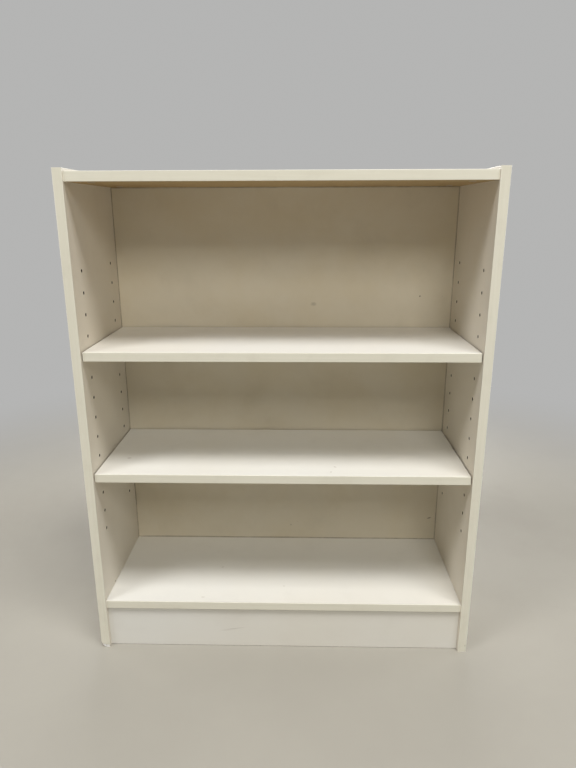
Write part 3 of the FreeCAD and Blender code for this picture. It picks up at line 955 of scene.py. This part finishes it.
class PinHoleMouths(Shaper):
    """Frays the mouths of the two rows of pin holes in a side."""

    title = "pin_hole_mouths"
    # The last port takes the near-black finish of the holes: painted shade in the holes.
    takes = {"Board": Supply.SHAPE, "Hole radius": 0.0, "Flare": 0.0, "Mouth depth": 0.0, "Pitch": 0.0,
             "Holes in a row": 1, "Lowest hole": 0.0, "Front row": 0.0, "Rear row": 0.0, "Inner face": 0.0,
             "Way in": 0.0, "Chipping": 0.0, "Seed": 0.0, "Bore": Supply.FINISH}
    gives = {"Board": Supply.SHAPE}
    row_names = ("Front row", "Rear row")
    ring_points = 28
    chip_size = 0.0016
    outside_share = 2.0
    inside_share = 0.5
    wall_share = 1.02
    mean_noise = (0.5, 0.5, 0.5)
    attribute = "mouth"

    def cutters(self) -> Socket:
        """Places a cone at each hole, wide end outwards.

        Returns:
            The cones.
        """
        given = self.given
        rows = self.node("GeometryNodeJoinGeometry")
        for row in self.row_names:
            start = self.point(given["Inner face"], given[row], given["Lowest hole"])
            step = self.point(z=given["Pitch"])
            inputs = {"Count": given["Holes in a row"], "Start Location": start, "Offset": step}
            self.feed(rows, {0: self.out("GeometryNodeMeshLine", inputs)})
        wide = self.plus(given["Hole radius"], self.times(given["Flare"], self.outside_share))
        narrow = self.minus(given["Hole radius"], self.times(given["Flare"], self.inside_share))
        length = self.times(given["Mouth depth"], self.outside_share + self.inside_share)
        cone = self.out("GeometryNodeMeshCone", {"Vertices": self.ring_points, "Radius Bottom": wide,
                                                 "Radius Top": narrow, "Depth": length})
        turn = self.point(y=self.times(given["Way in"], QUARTER_TURN))
        back_off = self.point(x=self.times(given["Mouth depth"], -1.0, given["Way in"]))
        inputs = {"Geometry": cone, "Rotation": turn, "Translation": back_off}
        cutter = self.out("GeometryNodeTransform", inputs)
        copies = self.out("GeometryNodeInstanceOnPoints", {"Points": rows.outputs[0], "Instance": cutter})
        return self.out("GeometryNodeRealizeInstances", {0: copies})

    def wire(self) -> Sockets:
        """Cuts a ragged cone out of the board at each hole, and gives the mouths and walls the near-black
        finish that paints shade in the holes.

        Returns:
            The board with its frayed holes.
        """
        chipping = self.given["Chipping"]
        where = self.out("GeometryNodeInputPosition")
        grain = self.seeded_noise(where, 1.0 / self.chip_size).outputs["Color"]
        push = self.vector("SUBTRACT", grain, self.mean_noise)
        push = self.vector("MULTIPLY", push, self.point(0.0, chipping, chipping))
        ragged = self.out("GeometryNodeSetPosition", {"Geometry": self.cutters(), "Offset": push})
        inputs = {"Geometry": ragged, "Name": self.attribute, "Value": True}
        marked = self.out("GeometryNodeStoreNamedAttribute", inputs, data_type="BOOLEAN", domain="FACE")
        cut = self.out("GeometryNodeMeshBoolean", {"Mesh 1": self.given["Board"], "Mesh 2": marked},
                       operation="DIFFERENCE", solver="EXACT")
        plain = self.out("GeometryNodeRealizeInstances", {0: cut})
        # The mouths and walls of the holes take the near-black finish: painted shade.
        mouth = self.out("GeometryNodeInputNamedAttribute", {"Name": self.attribute}, data_type="BOOLEAN")
        shaded_hollow = self.math("MAXIMUM", mouth, self.inside_hole(where))
        return {"Board": self.painted(plain, self.given["Bore"], shaded_hollow)}

    def inside_hole(self, where: Socket) -> Socket:
        """Tells the walls and floors of the holes from the rest of the board.

        Args:
            where: The place of each face.

        Returns:
            1 inside a hole and 0 elsewhere.
        """
        given = self.given
        x, y, z = self.parts(where)
        rows = [self.math("ABSOLUTE", self.minus(y, given[row])) for row in self.row_names]
        aside = self.math("MINIMUM", *rows)
        steps = self.over(self.minus(z, given["Lowest hole"]), given["Pitch"])
        along = self.times(self.minus(steps, self.math("ROUND", steps)), given["Pitch"])
        away = self.math("SQRT", self.plus(self.times(aside, aside), self.times(along, along)))
        near = self.math("LESS_THAN", away, self.times(given["Hole radius"], self.wall_share))
        deep = self.times(self.minus(x, given["Inner face"]), given["Way in"])
        return self.times(near, self.math("GREATER_THAN", deep, given["Mouth depth"]))


class SlackSheet(Shaper):
    """Makes the thin back: pinned along its border, and slack enough between to stand off the boards."""

    title = "slack_sheet"
    takes = {"Start": Supply.SHAPE, "Width": 0.0, "Height": 0.0, "Thickness": 0.0, "Front": 0.0, "Foot": 0.0,
             "Pinned": 0.0, "Reach": 0.0, "Slack": 0.0, "Wave": 0.0, "Slack from": 0.0, "Slack to": 0.0,
             "Seed": 0.0, "Print": Supply.FINISH, "Bare": Supply.FINISH}
    gives = {"Sheet": Supply.SHAPE}
    columns = 79
    layers = 2
    rows = 91
    lobe_share = 0.65
    calm_span = (-0.3, 0.3)
    calm_reach = (1.0, 0.15)
    uneven_scale = 4.0
    front_normal = -0.5

    def flat(self) -> Socket:
        """Stands a flat sheet in its place.

        Returns:
            The sheet.
        """
        given = self.given
        size = self.point(given["Width"], given["Thickness"], given["Height"])
        sheet = self.out("GeometryNodeMeshCube", {"Size": size, "Vertices X": self.columns,
                                                  "Vertices Y": self.layers, "Vertices Z": self.rows})
        middle = self.point(0.0, self.plus(given["Front"], self.times(given["Thickness"], HALF)),
                            self.plus(given["Foot"], self.times(given["Height"], HALF)))
        return self.out("GeometryNodeTransform", {"Geometry": sheet, "Translation": middle})

    def bow(self) -> Socket:
        """Works out how far the sheet stands back: in waves that die out towards its border and one side.

        Returns:
            The distance at each place.
        """
        given = self.given
        where = self.out("GeometryNodeInputPosition")
        x, _, z = self.parts(where)
        up = self.minus(z, given["Foot"])
        from_side = self.minus(self.times(given["Width"], HALF), self.math("ABSOLUTE", x))
        from_end = self.math("MINIMUM", up, self.minus(given["Height"], up))
        rooms = (from_side, from_end)
        free = [self.over(self.minus(room, given["Pinned"]), given["Reach"]) for room in rooms]
        loose = self.times(*[self.fade(share, RISING) for share in free])
        waves = self.over(self.minus(x, given["Slack from"]), given["Wave"])
        wave = self.math("ABSOLUTE", self.math("SINE", self.times(math.pi, waves)))
        past = self.over(self.minus(x, given["Slack to"]), given["Wave"])
        lobes = self.times(wave, self.fade(past, self.calm_span, self.calm_reach))
        uneven = self.seeded_noise(where, self.uneven_scale).outputs[0]
        both = self.plus(self.times(lobes, self.lobe_share), self.times(uneven, 1.0 - self.lobe_share))
        return self.times(both, given["Slack"], loose)

    def wire(self) -> Sockets:
        """Bends the sheet, and tells its printed front from its bare rear and edges.

        Returns:
            The finished sheet.
        """
        inputs = {"Geometry": self.flat(), "Offset": self.point(y=self.bow())}
        plain = self.out("GeometryNodeRealizeInstances", {0: self.out("GeometryNodeSetPosition", inputs)})
        printed = self.painted(plain, self.given["Print"])
        towards_back = self.parts(self.out("GeometryNodeInputNormal"))[Axis.BACK.value]
        rear = self.math("GREATER_THAN", towards_back, self.front_normal)
        return {"Sheet": self.painted(printed, self.given["Bare"], rear)}


class Workpiece:
    """A merged copy of a CAD node's mesh, to be worked on before it takes the node's place."""

    def __init__(self, node: str) -> None:
        """Copies a node's mesh and joins its loose triangles.

        Args:
            node: The CAD node's name.
        """
        self.low, self.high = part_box(node)
        self.mesh = bmesh.new()
        self.mesh.from_mesh(frame["nodes"][node].data)
        verts = self.mesh.verts
        bmesh.ops.remove_doubles(self.mesh, verts=verts, dist=WELD_DISTANCE)
        bmesh.ops.dissolve_limit(self.mesh, angle_limit=FLAT_ANGLE, verts=verts, edges=self.mesh.edges)

    def planes(self, point: Vector) -> set[BoxSide]:
        """Gives the sides of the piece's box that a point lies on."""
        ends = ((False, self.low), (True, self.high))
        return {(axis, far) for axis in Axis for far, corner in ends
                if abs(point[axis.value] - corner[axis.value]) < ON_PLANE}

    def ease(self, width: float, covered: frozenset[BoxSide]) -> None:
        """Rounds the outer edges of the piece.

        Args:
            width: How far the rounding reaches from the edge.
            covered: Sides of the box that a strip covers, whose edges stay sharp.
        """
        outer = []
        for edge in self.mesh.edges:
            shared = self.planes(edge.verts[0].co) & self.planes(edge.verts[1].co)
            if len(shared) > 1 and not shared & covered:
                outer.append(edge)
        bmesh.ops.bevel(self.mesh, geom=outer, offset=width, segments=EASE_SEGMENTS, profile=EASE_PROFILE,
                        affect="EDGES")

    def paint(self, normal: Axis, rim: float, shaded_below: bool) -> None:
        """Puts the facing on the two large faces and their rims, and leaves the rest raw.

        Args:
            normal: The axis across the board.
            rim: How far a rounded edge reaches from a face.
            shaded_below: Whether the low face takes the painted shade of an underside in place of the facing.
        """
        across = normal.value
        levels = (self.low[across], self.high[across])
        for face in self.mesh.faces:
            centre = face.calc_center_median()[across]
            outside = min(abs(centre - level) for level in levels) < rim + ON_PLANE
            coat = Coat.FACING if outside and abs(face.normal[across]) > FACING_SHARE else Coat.RAW
            if shaded_below and coat is Coat.FACING and face.normal[across] < 0:
                coat = Coat.UNDERSIDE_SHADE
            face.material_index = coat.value

    def break_corner(self, corner: Vector, reaches: tuple[Triple, ...]) -> None:
        """Breaks a corner off along slanting planes, and leaves raw faces there.

        Args:
            corner: The corner of the box.
            reaches: For each plane, how far from the corner it meets the three edges there.
        """
        inwards = Vector([1.0 if at == low else -1.0 for at, low in zip(corner, self.low)])
        shaky = random.Random(WEAR_SEED)
        for reach in reaches:
            slope = Vector([way / far for way, far in zip(inwards, reach)])
            start = corner + Vector((inwards.x * reach[0], 0.0, 0.0))
            everything = [*self.mesh.verts, *self.mesh.edges, *self.mesh.faces]
            cut = bmesh.ops.bisect_plane(self.mesh, geom=everything, plane_co=start, plane_no=slope,
                                         clear_inner=True)
            rim = [part for part in cut["geom_cut"] if isinstance(part, bmesh.types.BMEdge)]
            for face in bmesh.ops.edgeloop_fill(self.mesh, edges=rim)["faces"]:
                face.material_index = Coat.RAW.value
                face.normal_update()
                if face.normal.dot(slope) > 0:
                    face.normal_flip()
                relief = TORN_RELIEF * math.sqrt(face.calc_area())
                for vert in bmesh.ops.poke(self.mesh, faces=[face])["verts"]:
                    vert.co += slope.normalized() * relief * shaky.random()

    def finish(self, name: str, materials: list[Material]) -> Object:
        """Makes the object that takes the node's place.

        Args:
            name: The piece's name.
            materials: Its finishes, in the order that the faces number them.

        Returns:
            The new object.
        """
        data = bpy.data.meshes.new(name)
        self.mesh.to_mesh(data)
        self.mesh.free()
        for material in materials:
            data.materials.append(material)
        return put_in_scene(name, data)


def put_in_scene(name: str, data: bpy.types.ID) -> Object:
    """Makes an object of a mesh, lamp or camera and links it to the scene.

    Args:
        name: The object's name.
        data: What it shows.

    Returns:
        The object.
    """
    made = bpy.data.objects.new(name, data)
    bpy.context.scene.collection.objects.link(made)
    return made


def seat(piece: Object, body: Body, slot: Slot, *nodes: str) -> Object:
    """Puts a finished piece in the place of CAD nodes and lets it ride on their body.

    Args:
        piece: The new piece.
        body: The body that it moves with.
        slot: The record's material slot; not used.
        nodes: The nodes that it stands for.

    Returns:
        The piece.
    """
    piece.data.shade_smooth()
    piece.data.set_sharp_from_angle(angle=SHARP_ANGLE)
    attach(piece, body.value)
    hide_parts(*nodes)
    return piece


def dress(node: str, material: Material) -> Object:
    """Gives a CAD node a better finish and leaves its shape.

    Args:
        node: The node's name.
        material: Its finish.

    Returns:
        The node's object.
    """
    piece = frame["nodes"][node]
    piece.data.materials.clear()
    piece.data.materials.append(material)
    return piece


@dataclass
class Board:
    """A faced chipboard with eased edges: white on its two faces, raw on its other edges."""

    name: str
    node: str
    body: Body
    normal: Axis
    core: Material
    marks: tuple[Mark, ...] = ()
    covered: frozenset[BoxSide] = frozenset({(Axis.BACK, False)})
    underside_shade: Material | None = None
    dirty_ends: frozenset[Axis] = frozenset(Axis)
    ease: float = 0.0003
    mark_depth: float = 0.004
    marked_high: bool = True
    facing: Facing = Facing()

    def film(self, low: Vector, high: Vector) -> Material:
        """Makes the facing, with the board's marks and with dirt along the borders that gather it.

        Args:
            low: The board's low corner.
            high: The board's high corner.

        Returns:
            The facing.
        """
        away = Vector([0.0 if axis in self.dirty_ends else CLEAR_OF_BORDER for axis in Axis])
        level = (high if self.marked_high else low)[self.normal.value]
        spots = [mark.spot(low, level, self.normal, self.mark_depth) for mark in self.marks]
        return self.facing.material(f"{self.name}_facing", (low - away, high + away), spots)

    def shape(self) -> Workpiece:
        """Makes the board's mesh with its edges eased and its faces told apart.

        Returns:
            The mesh, ready for more work.
        """
        work = Workpiece(self.node)
        work.ease(self.ease, self.covered)
        work.paint(self.normal, self.ease, self.underside_shade is not None)
        return work

    def build(self) -> Object:
        """Makes the board and puts it in its node's place.

        Returns:
            The finished piece.
        """
        work = self.shape()
        coats = [self.film(work.low, work.high), self.core]
        if self.underside_shade:
            coats.append(self.underside_shade)
        return seat(work.finish(self.name, coats), self.body, Slot.BOARD, self.node)


@dataclass
class Strip:
    """A strip on a board's edge, which keeps its CAD shape."""

    node: str
    along: Axis
    spots: tuple[Spot, ...] = ()
    drawn_out: float = 0.04

    def film(self, extent: Extent) -> Material:
        """Makes the strip's finish, with its streaks along its length."""
        stretch = tuple(self.drawn_out if axis is self.along else 1.0 for axis in Axis)
        return StripPlastic(streak=stretch).material(f"{self.node}_film", extent, self.spots)

    def build(self) -> Object:
        """Gives the CAD strip its finish."""
        return dress(self.node, self.film(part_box(self.node)))


@dataclass
class PinHoles:
    """The two rows of pin holes in a side, read from the record's mounts."""

    radius: float
    pitch: float
    lowest: float
    front: float
    rear: float
    holes: int

    @classmethod
    def of(cls, hand: Hand) -> "PinHoles":
        """Reads the rows of one side.

        Args:
            hand: Which side.

        Returns:
            The rows' sizes and places.
        """
        title = f"{hand.value}_pin_holes_"
        mounts = {m["name"]: m for m in frame["record"]["mounts"] if m["name"].startswith(title)}
        holes = max(int(number) for name in mounts for number in re.findall(r"\d+", name))
        first = mounts[f"{title}1_2"]
        radius = first["dims"]["hole_r_mm"] * MILLIMETRE
        pitch = first["dims"]["spacing_y_mm"] * MILLIMETRE
        spread = first["dims"]["spacing_x_mm"] * MILLIMETRE
        middle = Vector(first["pos_m"])
        return cls(radius, pitch, middle.z - pitch / 2, middle.y - spread / 2, middle.y + spread / 2, holes)


@dataclass
class Side:
    """A side of the carcass: its board with two rows of pin holes, and the strips on its front and top."""

    hand: Hand
    core: Material
    # The near-black finish of the pin holes: painted shade in the holes.
    painted_hole_shade: Material
    broken: tuple[Triple, ...] = ()
    flaked: tuple[Triple, ...] = ()
    marks: tuple[Mark, ...] = ()
    strip_spots: tuple[Spot, ...] = ()
    flare: float = 0.0008
    mouth_depth: float = 0.0005
    chipping: float = 0.0005
    covered: frozenset[BoxSide] = frozenset({(Axis.BACK, False), (Axis.UP, True)})
    # Yellower than the shelves' facing: painted warm shade of the bays.
    facing: Facing = Facing((0.785, 0.735, 0.64), aged=(0.77, 0.705, 0.59))

    def board(self) -> Object:
        """Makes the side's board with its frayed holes.

        Returns:
            The board.
        """
        left = self.hand is Hand.LEFT
        node = f"{self.hand.value}_side_panel"
        plan = Board(f"{self.hand.value}_side_board", node, Body.CARCASS, Axis.ACROSS, self.core, self.marks,
                     self.covered, marked_high=left, facing=self.facing)
        work = plan.shape()
        if self.broken:
            work.break_corner(work.low, self.broken)
        piece = work.finish(plan.name, [plan.film(work.low, work.high), self.core])
        holes = PinHoles.of(self.hand)
        inner = work.high.x if left else work.low.x
        PinHoleMouths.work(piece, Hole_radius=holes.radius, Flare=self.flare, Mouth_depth=self.mouth_depth,
                           Pitch=holes.pitch, Holes_in_a_row=holes.holes, Lowest_hole=holes.lowest,
                           Front_row=holes.front, Rear_row=holes.rear, Inner_face=inner,
                           Way_in=self.hand.way_in, Chipping=self.chipping, Seed=float(WEAR_SEED),
                           Bore=self.painted_hole_shade)
        return seat(piece, Body.CARCASS, Slot.BOARD, node)

    def front_strip(self) -> Object:
        """Dresses the front strip, and breaks its foot where the side's foot is broken.

        Returns:
            The strip.
        """
        node = f"{self.hand.value}_side_front_band"
        strip = Strip(node, Axis.UP, self.strip_spots)
        if not self.broken:
            return strip.build()
        work = Workpiece(node)
        work.break_corner(work.low, self.broken + self.flaked)
        coats = [strip.film((work.low, work.high)), TornEdge().material(f"{node}_torn")]
        piece = work.finish(f"{self.hand.value}_front_strip", coats)
        seat(piece, Body.CARCASS, Slot.STRIP, node)
        for face in piece.data.polygons:
            face.use_smooth = face.material_index != Coat.RAW.value
        return piece

    def build(self) -> list[Object]:
        """Makes the board and dresses its strips."""
        top = Strip(f"{self.hand.value}_side_top_band", Axis.BACK)
        return [self.board(), self.front_strip(), top.build()]


@dataclass
class FixedBoards:
    """The boards that join the two sides: top, bottom shelf and plinth."""

    core: Material
    bottom_marks: tuple[Mark, ...]
    plinth_marks: tuple[Mark, ...]

    def build(self) -> list[Object]:
        """Makes the three boards and dresses their strips.

        Returns:
            The pieces.
        """
        # The top's underside is brown: painted shade under the top.
        underside_shade = UndersideShadePaint().material("top_underside_painted_shade")
        top = Board("top_board", "top_panel", Body.CARCASS, Axis.UP, self.core, underside_shade=underside_shade)
        bottom = Board("bottom_board", "bottom_shelf", Body.CARCASS, Axis.UP, self.core, self.bottom_marks)
        plinth = Board("plinth_board", "plinth", Body.CARCASS, Axis.BACK, self.core, self.plinth_marks,
                       frozenset(), marked_high=False)
        strips = [Strip(f"{board.node}_band", Axis.ACROSS) for board in (top, bottom)]
        return [piece.build() for piece in (top, bottom, plinth, *strips)]


@dataclass
class LooseShelf:
    """A loose shelf: its board, rubbed dirty at the ends, and the strip on its front."""

    tier: Tier
    core: Material
    marks: tuple[Mark, ...] = ()
    dirty_ends: frozenset[Axis] = frozenset({Axis.ACROSS, Axis.UP})
    facing: Facing = Facing(border=0.0013, border_share=0.75)

    def build(self) -> list[Object]:
        """Makes the shelf and dresses its strip.

        Returns:
            The pieces.
        """
        body = Body.UPPER_SHELF if self.tier is Tier.UPPER else Body.LOWER_SHELF
        node = f"{self.tier.value}_shelf"
        board = Board(f"{node}_board", node, body, Axis.UP, self.core, self.marks, dirty_ends=self.dirty_ends,
                      facing=self.facing)
        return [board.build(), Strip(f"{node}_band", Axis.ACROSS).build()]


@dataclass
class Back:
    """The thin back, nailed along its border and slack between the nails."""

    marks: tuple[Mark, ...]
    reach: float = 0.022
    slack: float = 0.0024
    wave: float = 0.24
    slack_from: float = -0.37
    slack_to: float = 0.10
    mark_depth: float = 0.006
    front: PrintedFoil = PrintedFoil()
    rear: BareHardboard = BareHardboard()

    def build(self) -> list[Object]:
        """Makes the sheet, with dirt where the boards frame it.

        Returns:
            The pieces.
        """
        low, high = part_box("back_panel")
        size = high - low
        nails_low, nails_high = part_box("left_back_nails")
        pinned = (nails_low.x + nails_high.x) / 2 - low.x
        shown_low = Vector((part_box("left_side_panel")[1].x, low.y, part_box("bottom_shelf")[1].z))
        shown_high = Vector((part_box("right_side_panel")[0].x, high.y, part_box("top_panel")[0].z))
        spots = [mark.spot(low, low.y, Axis.BACK, self.mark_depth) for mark in self.marks]
        printed = self.front.material("back_print", (shown_low, shown_high), spots)
        bare = self.rear.material("back_bare")
        piece = put_in_scene("back_sheet", bpy.data.meshes.new("back_sheet"))
        SlackSheet.work(piece, Width=size.x, Height=size.z, Thickness=size.y, Front=low.y, Foot=low.z,
                        Pinned=pinned, Reach=self.reach, Slack=self.slack, Wave=self.wave,
                        Slack_from=self.slack_from, Slack_to=self.slack_to, Seed=float(WEAR_SEED),
                        Print=printed, Bare=bare)
        return [seat(piece, Body.CARCASS, Slot.HARDBOARD, "back_panel")]


@dataclass
class Fittings:
    """Pins, cams, bolts, dowels and nails, which keep their CAD shapes."""

    pin: PlatedMetal = PlatedMetal((0.70, 0.68, 0.63), 0.28)
    zinc: PlatedMetal = PlatedMetal((0.52, 0.52, 0.53), 0.48, scratch_size=0.0009)
    nail: PlatedMetal = PlatedMetal((0.56, 0.56, 0.57), 0.34)
    dowel: PlainBeech = PlainBeech()

    def build(self) -> list[Object]:
        """Dresses each fitting by the slot that the record gives it.

        Returns:
            The fittings' objects.
        """
        films = {Slot.PIN.value: self.pin.material("nickel"),
                 Slot.FITTING.value: self.zinc.material("zinc"),
                 Slot.NAIL.value: self.nail.material("nail_steel"),
                 Slot.DOWEL.value: self.dowel.material("beech")}
        fitted = [part for part in frame["record"]["subparts"] if part["material_slot"] in films]
        return [dress(part["node"], films[part["material_slot"]]) for part in fitted]


@dataclass(frozen=True)
class Lamp:
    """A soft rectangular lamp: where it hangs, what it points at, its sides and its power."""

    name: str
    place: Triple
    aim: Triple
    sides: tuple[float, float]
    watts: float
    colour: Colour = (1.0, 1.0, 1.0)
    spread: float = 180.0

    def hang(self) -> None:
        """Adds the lamp to the scene, unseen by the camera."""
        data = bpy.data.lights.new(self.name, "AREA")
        data.shape = "RECTANGLE"
        data.size, data.size_y = self.sides
        data.energy = self.watts
        data.color = self.colour
        data.spread = math.radians(self.spread)
        lamp = put_in_scene(self.name, data)
        turn = (Vector(self.aim) - Vector(self.place)).to_track_quat("-Z", "Y")
        lamp.matrix_world = Matrix.Translation(self.place) @ turn.to_matrix().to_4x4()
        lamp.visible_camera = False


@dataclass(frozen=True)
class Viewpoint:
    """Where the picture was taken from: place, angles in degrees and focal length in pixels."""

    place: Triple = (0.03978, -1.23356, 0.92339)
    yaw: float = -1.3692
    pitch_down: float = 16.116
    roll: float = -0.1752
    focal_pixels: float = 594.52
    long_side_pixels: float = 768.0
    sensor: float = 36.0

    def add(self) -> None:
        """Adds the camera and makes it the scene's."""
        yaw, pitch, roll = [math.radians(angle) for angle in (self.yaw, self.pitch_down, self.roll)]
        ahead = Vector((math.sin(yaw) * math.cos(pitch), math.cos(yaw) * math.cos(pitch), -math.sin(pitch)))
        level = Vector((math.cos(yaw), -math.sin(yaw), 0.0))
        upright = level.cross(ahead)
        right = math.cos(roll) * level + math.sin(roll) * upright
        up = math.cos(roll) * upright - math.sin(roll) * level
        data = bpy.data.cameras.new("viewpoint")
        data.sensor_width = self.sensor
        data.lens = self.focal_pixels * self.sensor / self.long_side_pixels
        camera = put_in_scene("viewpoint", data)
        turn = Matrix((right, up, -ahead)).transposed()
        camera.matrix_world = Matrix.Translation(self.place) @ turn.to_4x4()
        bpy.context.scene.camera = camera


@dataclass
class Studio:
    """A plain pale floor, soft lamps, an even surround and the camera."""

    floor_reach: float = 20.0
    floor: FloorPaint = FloorPaint()
    surround: Colour = (1.0, 0.94, 0.84)
    surround_level: float = 0.02
    backdrop: Colour = BACKDROP_GREY
    lamps: tuple[Lamp, ...] = (
        Lamp("left_lamp", (-3.7, -3.0, 6.8), (-3.7, -3.0, 0.0), (2.7, 2.0), 272.0),
        Lamp("middle_lamp", (0.0, -2.2, 6.8), (0.0, -2.2, 0.0), (2.0, 2.0), 56.0),
        Lamp("right_lamp", (2.2, -2.2, 6.8), (2.2, -2.2, 0.0), (2.7, 1.9), 292.0),
        Lamp("front_lamp", (0.45, -2.9, 2.7), (0.0, 0.0, 0.5), (1.6, 0.9), 44.0, (1.0, 0.98, 0.93)),
        Lamp("rear_lamp", (0.0, 3.4, 1.1), (0.0, 0.2, 0.5), (3.0, 1.2), 16.0, spread=LOW_SPREAD),
        Lamp("left_side_lamp", (-3.2, 0.8, 1.1), (-0.4, 0.1, 0.5), (1.5, 1.2), 7.0, spread=LOW_SPREAD),
        Lamp("right_side_lamp", (3.2, 0.8, 1.1), (0.4, 0.1, 0.5), (1.5, 1.2), 7.0, spread=LOW_SPREAD),
    )
    view: Viewpoint = Viewpoint()

    def lay_floor(self) -> None:
        """Lays the floor as part of the stage."""
        data = bpy.data.meshes.new("floor")
        reach = self.floor_reach
        corners = [(-reach, -reach, 0.0), (reach, -reach, 0.0), (reach, reach, 0.0), (-reach, reach, 0.0)]
        data.from_pydata(corners, [], [range(len(corners))])
        data.materials.append(self.floor.material("floor_paint"))
        put_in_scene("floor", data)

    def light_surround(self) -> None:
        """Lights the room evenly, and shows the plain backdrop to the camera and to reflections."""
        world = bpy.data.worlds.new("surround")
        world.use_nodes = True
        world.node_tree.nodes.clear()
        wiring = Wiring(world.node_tree)
        soft = {"Color": opaque(self.surround), "Strength": self.surround_level}
        plain = {"Color": opaque(self.backdrop), "Strength": 1.0}
        lit, shown = [wiring.out("ShaderNodeBackground", inputs) for inputs in (soft, plain)]
        both = wiring.out("ShaderNodeMixShader", {0: wiring.shown(), 1: lit, 2: shown})
        wiring.node("ShaderNodeOutputWorld", {"Surface": both})
        bpy.context.scene.world = world

    def build(self) -> None:
        """Sets up the stage, the light and the camera."""
        self.lay_floor()
        self.light_surround()
        for lamp in self.lamps:
            lamp.hang()
        self.view.add()
        bpy.context.scene.view_settings.view_transform = "Standard"


# Near-black core for the pin holes' mouths and walls: painted shade in the holes.
HOLE_SHADE_BROWN = (0.012, 0.008, 0.005)
HOLE_SHADE_PALE = (0.030, 0.021, 0.013)
HOLE_SHADE_SHINE = 0.1
# Darker core for the loose shelves' ends and rear edge: handling dirt, and painted shade in the narrow gaps
# beside the shelves.
SHELF_END_DIRT_AND_SHADE_BROWN = (0.13, 0.085, 0.048)
SHELF_END_DIRT_AND_SHADE_PALE = (0.24, 0.17, 0.10)
LEFT_FOOT_BREAK = ((0.0065, 0.007, 0.015), (0.0125, 0.006, 0.0055))
LEFT_FOOT_FLAKE = ((0.05, 0.00105, 0.0095),)
RIGHT_FOOT_STAIN = {"Centre": (0.3972, -0.14, 0.0160), "Half size": (0.0026, 0.004, 0.0034), "Strength": 0.35}
LOWER_SHELF_MARKS = (
    Mark(0.0476, 0.0837, 0.0065, 0.0022, 8.0, 0.95),
    Mark(0.4899, 0.0437, 0.0045, 0.0019, -20.0, 0.8),
    Mark(0.4804, 0.0187, 0.0035, 0.0019, 15.0, 0.75),
)
BOTTOM_MARKS = (
    Mark(0.3837, 0.0598, 0.004, 0.0018, 0.0, 0.4),
    Mark(0.2368, 0.1316, 0.005, 0.0025, 30.0, 0.3),
    Mark(0.2078, 0.0166, 0.0055, 0.002, 0.0, 0.45),
)
PLINTH_MARKS = (
    Mark(0.275, 0.0438, 0.034, 0.0011, -8.0, 0.38),
    Mark(0.262, 0.0395, 0.024, 0.0009, -6.0, 0.22),
)
BACK_MARKS = (
    Mark(0.4569, 0.6229, 0.009, 0.006, 0.0, 0.3),
    Mark(0.6995, 0.6408, 0.0023, 0.0023, 0.0, 1.0),
    Mark(0.7552, 0.0779, 0.007, 0.0022, -20.0, 0.75),
    Mark(0.4042, 0.0545, 0.003, 0.003, 0.0, 0.4),
)
LEFT_SIDE_MARKS = (Mark(0.0704, 0.1192, 0.0036, 0.003, 0.0, 1.0),)


def main() -> None:
    """Builds the bookcase's pieces in order, then the studio, and reports each piece."""
    logging.basicConfig(level=logging.INFO, format="%(name)s: %(message)s")
    core = RawChipboard().material("raw_core")
    painted_hole_shade = RawChipboard(HOLE_SHADE_BROWN, pale=HOLE_SHADE_PALE, shine=HOLE_SHADE_SHINE).material("hole_painted_shade")
    ends = RawChipboard(SHELF_END_DIRT_AND_SHADE_BROWN, pale=SHELF_END_DIRT_AND_SHADE_PALE).material("shelf_ends_dirt_and_shade")
    assemblies = (
        Side(Hand.LEFT, core, painted_hole_shade, LEFT_FOOT_BREAK, LEFT_FOOT_FLAKE, LEFT_SIDE_MARKS),
        Side(Hand.RIGHT, core, painted_hole_shade, strip_spots=(RIGHT_FOOT_STAIN,)),
        FixedBoards(core, BOTTOM_MARKS, PLINTH_MARKS),
        Back(BACK_MARKS),
        LooseShelf(Tier.UPPER, ends),
        LooseShelf(Tier.LOWER, ends, LOWER_SHELF_MARKS),
        Fittings(),
    )
    for assembly in assemblies:
        for piece in assembly.build():
            log.info("%s: %d faces", piece.name, len(piece.data.polygons))
    Studio().build()


if __name__ == "__main__":
    main()
